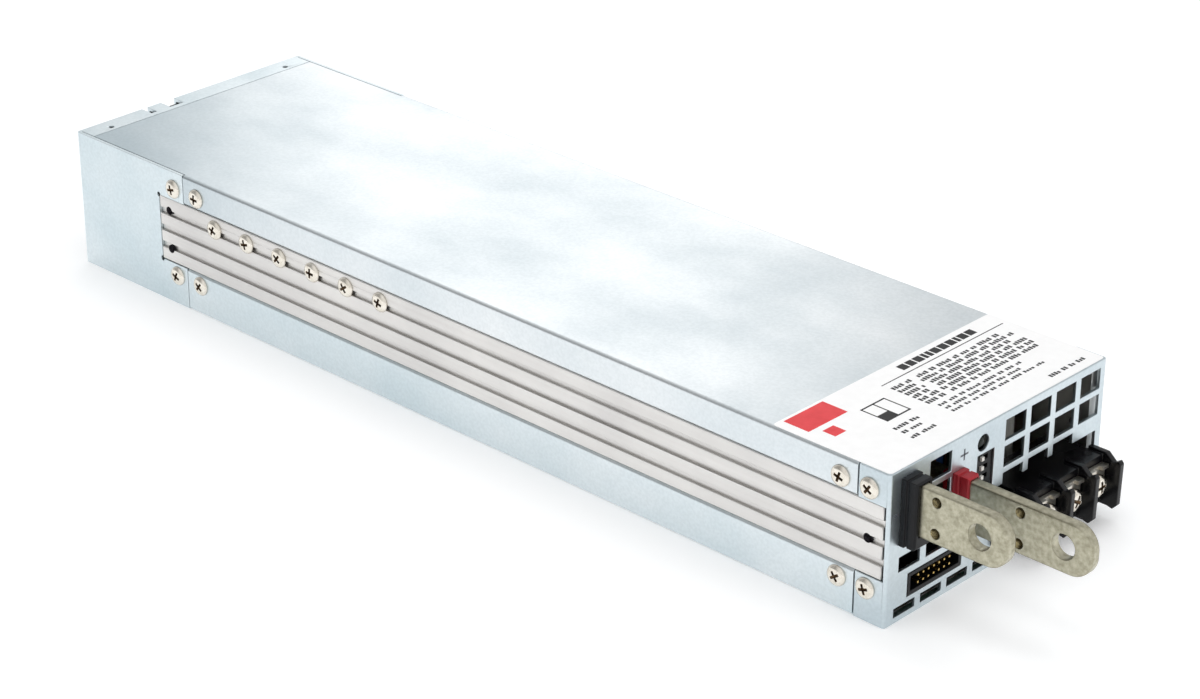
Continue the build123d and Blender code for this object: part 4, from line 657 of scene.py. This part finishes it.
# %% Screws of the terminals, each on its own body
TERMINAL_SEAT = 155.85
TERMINAL_HEIGHT = 11.2
TERMINAL_MIDDLES = (12.4, 22.6, 32.8)
TERMINAL_SHANK_RADIUS = 1.7
TERMINAL_HEAD = ((0.0, 2.2), (1.3, 2.16), (2.2, 1.94), (2.7, 1.56), (2.95, 1.0), (3.0, 0.5),
                 (3.0, 0.08), (2.93, 0.0), (TERMINAL_SHANK_RADIUS, 0.0))
TERMINAL_TURN = 31
model_terminal = pan_head_screw("terminal_pan_screw", TERMINAL_HEAD, TERMINAL_SHANK_RADIUS,
                                shank_length=6.5, recess_length=3.7, recess_width=0.85)
for number, y in enumerate(TERMINAL_MIDDLES, start=1):
    screw = placed_copy(f"terminal_screw_{number}_turned", model_terminal,
                        Matrix.Translation(Vector((TERMINAL_SEAT, y, TERMINAL_HEIGHT)) * MM)
                        @ Matrix.Rotation(math.pi / 2, 4, "Y")
                        @ Matrix.Rotation(math.radians(TERMINAL_TURN * number), 4, "Z"))
    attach(screw, f"screw_{number}")
    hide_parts(f"terminal_screw_{number}")
    print(screw.name, len(screw.data.polygons), "faces")
bpy.data.objects.remove(model_terminal)

# %% [markdown]
# ## Threads
# Two tapped holes cross each bus bar, and three stand in each rail. A thread at this size reads
# as a stack of ridges, so a toothed outline is spun into a sleeve that lines the hole. The sleeve
# of a bar is as long as the bar is thick, its ridges catch the light as fine rings, and its
# colour is darkened as painted shade. A rail's holes cross its grooves, so its sleeves stay
# flush with the rail's face and leave the hole round, and they are near black, as painted
# shade in the hole.

# %% Thread sleeves
THREAD_PITCH = 0.5
THREAD_ROOT = 1.22
THREAD_CREST = 1.02
THREAD_MOUTH = 1.24
THREAD_LIP = 0.05
TAPPED_HOLES = ((-109.8, 16.4), (-109.8, 28.2), (143.8, 22.3))
# Each row: piece, slot, length along Y, metal, and the middle of each hole.
THREADED = (
    ("negative_bar_threads", "nickel_bar", 2.96, THREAD_WITH_SHADE,
     ((159.1, -35.35, 27.0), (159.1, -35.35, 35.2))),
    ("positive_bar_threads", "nickel_bar", 2.96, THREAD_WITH_SHADE,
     ((169.2, -16.4, 20.7), (169.2, -16.4, 28.9))),
    ("rail_threads", "rail_aluminium", 3.4, HOLE_THREAD_SHADE,
     tuple((x, side * 40.55, z) for side in (-1, 1) for x, z in TAPPED_HOLES)))


def thread_sleeve(length, metal):
    """A toothed sleeve round the Z axis, open at both ends, centred on its middle."""
    threaded = length - 2 * THREAD_LIP
    teeth = round(threaded / THREAD_PITCH)
    step = threaded / teeth
    outline = [(THREAD_MOUTH, -length / 2)]
    for tooth in range(teeth):
        low = -length / 2 + THREAD_LIP + tooth * step
        outline += [(THREAD_ROOT, low), (THREAD_CREST, low + step / 2)]
    outline += [(THREAD_ROOT, length / 2 - THREAD_LIP), (THREAD_MOUTH, length / 2)]
    sleeve = turned("thread_sleeve", outline, steps=28)
    sleeve.data.materials.append(metal)
    return sleeve


for name, slot, length, metal, places in THREADED:
    model_thread = thread_sleeve(length, metal)
    joined = join([placed_copy(name, model_thread, Matrix.Translation(Vector(middle) * MM)
                               @ Matrix.Rotation(math.pi / 2, 4, "X"))
                   for middle in places], name)
    bpy.ops.object.shade_smooth_by_angle(angle=math.radians(30))
    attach(joined, "case")
    bpy.data.objects.remove(model_thread)
    print(joined.name, len(joined.data.polygons), "faces")

# %% [markdown]
# ## Print on the label
# The label film carries a heading with a rule below it, two fields of colour, a divided box and
# rows of short strokes that stand in for small print, so that it reads as a rating label and
# says nothing. One small block of ink is modelled, and every bar and stroke is a copy of it,
# stretched to its place. The marks of one ink are joined into one piece.

# %% One block of ink, and its copies
LABEL_TOP = 41.12
INK = 0.03

bpy.ops.object.select_all(action="DESELECT")
bpy.ops.mesh.primitive_plane_add(size=MM)
ink_block = bpy.context.object
activate(ink_block, "EDIT")
bpy.ops.mesh.select_all(action="SELECT")
bpy.ops.mesh.extrude_region_move(TRANSFORM_OT_translate={"value": (0, 0, INK * MM)})
bpy.ops.mesh.select_all(action="SELECT")
bpy.ops.mesh.normals_make_consistent(inside=False)
bpy.ops.object.mode_set(mode="OBJECT")


def ink_bar(x0, y0, x1, y1):
    """A copy of the ink block on the label, stretched between two corners, in millimetres."""
    middle = Vector(((x0 + x1) / 2, (y0 + y1) / 2, LABEL_TOP)) * MM
    stretch = Matrix.Diagonal((abs(x1 - x0), abs(y1 - y0), 1, 1))
    return placed_copy("ink_bar", ink_block, Matrix.Translation(middle) @ stretch)


def join_print(name, bars, ink):
    """Joins bars into one printed piece of one ink that moves with the case."""
    joined = join(bars, name)
    joined.data.materials.append(ink)
    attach(joined, "case")
    return joined


print("one block of ink, size", tuple(round(v / MM, 3) for v in ink_block.dimensions), "mm")

# %% [markdown]
# ## Rows of strokes
# A row is a chain of short groups. Each group has a few upright strokes, most of them of one
# height and some a little lower, so that a row looks like a line of small print from where the
# camera stands and holds no letter.

# %% Rows of strokes
random.seed(7)
STROKE = 0.74
STROKE_GAP = 0.30
GROUP_GAP = 0.95
RISES = (0.0, 0.0, 0.25)


def stroke_row(x, start, end, height, longest):
    """Groups of strokes from start to end along Y, each stroke height tall along X."""
    strokes = []
    y = start
    while y < end:
        for _ in range(random.randint(2, longest)):
            rise = random.choice(RISES) * height
            if y + STROKE < end:
                strokes.append(ink_bar(x + rise, y, x + height, y + STROKE))
            y += STROKE + STROKE_GAP
        y += GROUP_GAP
    return strokes


# Bars and boxes are given by two corners, and rows by x, start, end, height and longest group.
HEADING_RULE = (119.6, -8.5, 119.9, 40.0)
HEADING_START, HEADING_GAP = 2.0, 0.5
HEADING_LOW, HEADING_HIGH = 115.7, 118.3
HEADING_WIDTHS = (2.6, 2.4, 2.6, 1.2, 1.4, 2.6, 2.6, 2.6, 1.2, 2.6, 2.6)
TABLE_ROWS = ((122.0, 1.5, 34.0), (124.1, 0.5, 37.5), (126.2, 1.5, 34.0),
              (128.3, 1.5, 38.0), (130.4, 0.5, 38.0), (132.5, 1.5, 37.0))
OTHER_ROWS = ((135.6, -7.0, 26.0, 1.0, 6), (137.6, -7.0, 23.0, 1.0, 6),
              (139.6, -7.0, 30.0, 1.0, 6), (145.4, 24.0, 38.8, 1.3, 4))
DIVIDED_BOX = ((124.0, -22.0, 124.5, -13.0), (132.0, -22.0, 132.5, -13.0),
               (124.0, -22.0, 132.5, -21.6), (124.0, -13.4, 132.5, -13.0),
               (124.0, -17.7, 132.5, -17.3), (129.0, -21.6, 132.0, -17.7))
BOX_ROWS = ((135.5, -24.0, -14.0, 1.2, 5), (138.0, -24.0, -17.0, 1.2, 5),
            (141.0, -24.5, -15.5, 1.2, 5))
RED_FIELDS = ((114.6, -39.0, 122.4, -24.6), (124.4, -36.4, 128.4, -32.4))

marks = [ink_bar(*HEADING_RULE)]
y = HEADING_START
for width in HEADING_WIDTHS:
    marks.append(ink_bar(HEADING_LOW, y, HEADING_HIGH, y + width))
    y += width + HEADING_GAP
for x, start, end in TABLE_ROWS:
    marks += stroke_row(x, -8.0, -1.0, 1.4, 7)
    marks += stroke_row(x, start, end, 1.4, 6)
for row in OTHER_ROWS:
    marks += stroke_row(*row)
marks += [ink_bar(*corners) for corners in DIVIDED_BOX]
for row in BOX_ROWS:
    marks += stroke_row(*row)
black_print = join_print("label_black_print", marks, BLACK_INK)
red_print = join_print("label_red_print", [ink_bar(*corners) for corners in RED_FIELDS], RED_INK)
bpy.data.objects.remove(ink_block)
for piece in (black_print, red_print):
    print(piece.name, len(piece.data.polygons), "faces")

# %% [markdown]
# ## Marks on the panel
# Beside each bar a plain plus or minus is printed in grey on the panel. Their lines are thin
# blocks of ink that stand just proud of the sheet.

# %% Polarity marks
PANEL_FACE = 150.0
PLUS_CENTRE = (-14.6, 35.9)
MINUS_CENTRE = (-40.0, 29.6)
PLUS_LINE = 3.0
MINUS_LINE = 2.0
LINE_WIDTH = 0.5


def panel_bar(centre, width, height):
    """A thin raised bar of ink on the front panel round a (y, z) centre, in millimetres."""
    bpy.ops.object.select_all(action="DESELECT")
    bpy.ops.mesh.primitive_cube_add(size=1)
    bar = bpy.context.object
    bar.scale = (INK * MM, width * MM, height * MM)
    bar.location = Vector((PANEL_FACE + INK / 2, *centre)) * MM
    bpy.ops.object.transform_apply(location=True, rotation=True, scale=True)
    return bar


panel_print = join_print("panel_polarity_print",
                         [panel_bar(PLUS_CENTRE, PLUS_LINE, LINE_WIDTH),
                          panel_bar(PLUS_CENTRE, LINE_WIDTH, PLUS_LINE),
                          panel_bar(MINUS_CENTRE, MINUS_LINE, LINE_WIDTH)], GREY_INK)
print(panel_print.name, "at", PLUS_CENTRE, "and", MINUS_CENTRE)

# %% [markdown]
# ## Camera
# The photograph was taken from the front left corner, a little under a metre away, with a long
# lens. The camera was fitted to the corners of the case, so its place, its lens and its small
# roll are given as numbers. The frame is 1200 by 699 pixels and the lens is centred.

# %% Camera
CAMERA_PLACE = Vector((536.24, -547.25, 385.07)) * MM
CAMERA_AZIMUTH = math.radians(43.456)
CAMERA_ELEVATION = math.radians(26.261)
CAMERA_ROLL = math.radians(0.17)
PHOTO_FOCAL_PIXELS = 3137.66
PHOTO_WIDTH_PIXELS = 1200

bpy.ops.object.select_all(action="DESELECT")
bpy.ops.object.camera_add(location=CAMERA_PLACE)
camera = bpy.context.object
camera.name = "camera"
camera.data.sensor_width = 36.0
camera.data.lens = PHOTO_FOCAL_PIXELS / PHOTO_WIDTH_PIXELS * camera.data.sensor_width
camera.data.clip_start, camera.data.clip_end = 0.01, 50
look = Vector((-math.sin(CAMERA_AZIMUTH) * math.cos(CAMERA_ELEVATION),
               math.cos(CAMERA_AZIMUTH) * math.cos(CAMERA_ELEVATION),
               -math.sin(CAMERA_ELEVATION)))
upright = look.to_track_quat("-Z", "Y").to_matrix().to_4x4()
camera.matrix_world = (Matrix.Translation(CAMERA_PLACE) @ upright
                       @ Matrix.Rotation(CAMERA_ROLL, 4, "Z"))
bpy.context.scene.camera = camera
print("lens", round(camera.data.lens, 2), "mm, looking", [round(v, 4) for v in look])

# %% [markdown]
# ## Table and light
# The table is one large pale plane. A white picture needs a floor that renders white, so the
# floor gives camera rays a little light of its own, and still takes the charger's shadow. The
# sky is white where it is seen, and in mirrors parts of it are darker, so that a bent edge shows
# as a grey line. Three large soft lamps light the matt surfaces and are left out of mirrors. A
# small fourth one is mirrored by the lid, as a pale window.

# %% Floor
FLOOR_WIDTH = 12
FLOOR_DROP = 0.05
FLOOR_GLOW_SEEN = 0.20
FLOOR_GLOW_MIRRORED = 0.30


def seen_directly(tree, light_path):
    """One where the camera sees a point, also through a clear piece, and zero elsewhere."""
    return combined(tree, "MAXIMUM", light_path.outputs["Is Camera Ray"],
                    light_path.outputs["Is Transmission Ray"])


bpy.ops.object.select_all(action="DESELECT")
bpy.ops.mesh.primitive_grid_add(x_subdivisions=8, y_subdivisions=8, size=FLOOR_WIDTH,
                                location=(0, 0, -FLOOR_DROP * MM))
floor = bpy.context.object
floor.name = "table_top"
TABLE, tree, shader, place = new_material("matt_white_table")
shader.inputs["Base Color"].default_value = linear("#f4f5f6")
shader.inputs["Roughness"].default_value = 0.9
light_path = add_node(tree, "ShaderNodeLightPath")
in_picture = blended(tree, seen_directly(tree, light_path), 0.0, FLOOR_GLOW_SEEN)
glow = blended(tree, light_path.outputs["Is Glossy Ray"], in_picture, FLOOR_GLOW_MIRRORED)
shader.inputs["Emission Color"].default_value = (1, 1, 1, 1)
tree.links.new(glow, shader.inputs["Emission Strength"])
floor.data.materials.append(TABLE)
print("floor", floor.dimensions.x, "m wide")

# %% Sky
SKY_SEEN = 1.0
SKY_LIGHT = 0.55
SKY_MIRRORED = 0.94
SKY_MIRRORED_LEFT = 0.42
BAND_DIP = 0.28

world = bpy.data.worlds.new("studio")
bpy.context.scene.world = world
world.use_nodes = True
sky = world.node_tree
light_path = add_node(sky, "ShaderNodeLightPath")
direction = add_node(sky, "ShaderNodeTexCoord").outputs["Generated"]
along = add_node(sky, "ShaderNodeSeparateXYZ", Vector=direction).outputs
# In mirrors the rear of the sky is darker to the left, and a band across the middle dims.
sideways = levels(sky, along["Y"], SKY_MIRRORED_LEFT, SKY_MIRRORED, low_in=-0.50, high_in=0.10)
rearward = levels(sky, along["X"], 1.0, 0.0, low_in=-0.50, high_in=-0.25)
rear_left = blended(sky, rearward, SKY_MIRRORED, sideways)
band_falls = levels(sky, along["X"], 1.0, 1.0 - BAND_DIP, low_in=-0.62, high_in=-0.42)
band_rises = levels(sky, along["X"], 0.0, BAND_DIP, low_in=-0.30, high_in=0.10)
mirrored = combined(sky, "MULTIPLY", rear_left, combined(sky, "ADD", band_falls, band_rises))
unseen = blended(sky, light_path.outputs["Is Glossy Ray"], SKY_LIGHT, mirrored)
strength = blended(sky, seen_directly(sky, light_path), unseen, SKY_SEEN)
background = sky.nodes["Background"].inputs
background["Color"].default_value = (1, 1, 1, 1)
sky.links.new(strength, background["Strength"])
print("sky: white where seen, dimmer at the rear left and in a band where mirrored")


# %% Lamps
def soft_lamp(name, place_mm, aim_mm, size_mm, watts, in_mirrors=False):
    """A square soft lamp at a place, turned to aim at a point, in millimetres."""
    bpy.ops.object.select_all(action="DESELECT")
    bpy.ops.object.light_add(type="AREA", location=Vector(place_mm) * MM)
    lamp = bpy.context.object
    lamp.name = name
    lamp.data.size = size_mm * MM
    lamp.data.energy = watts
    lamp.visible_glossy = in_mirrors
    aim = Vector(aim_mm) * MM - lamp.location
    lamp.rotation_euler = aim.to_track_quat("-Z", "Y").to_euler()


soft_lamp("overhead_softbox", (0, 100, 1500), (0, 0, 20), 1400, 10.2)
soft_lamp("side_softbox", (-200, -1400, 500), (0, 0, 20), 900, 4.5)
soft_lamp("front_softbox", (1400, 300, 450), (100, 0, 20), 800, 4.5)
soft_lamp("window_softbox", (-790, 790, 570), (-40, 0, 41), 440, 0.50, in_mirrors=True)

# %% [markdown]
# ## Finish
# The view transform is Standard, so that a colour comes out as it was written.

# %% Finish
bpy.context.scene.view_settings.view_transform = "Standard"
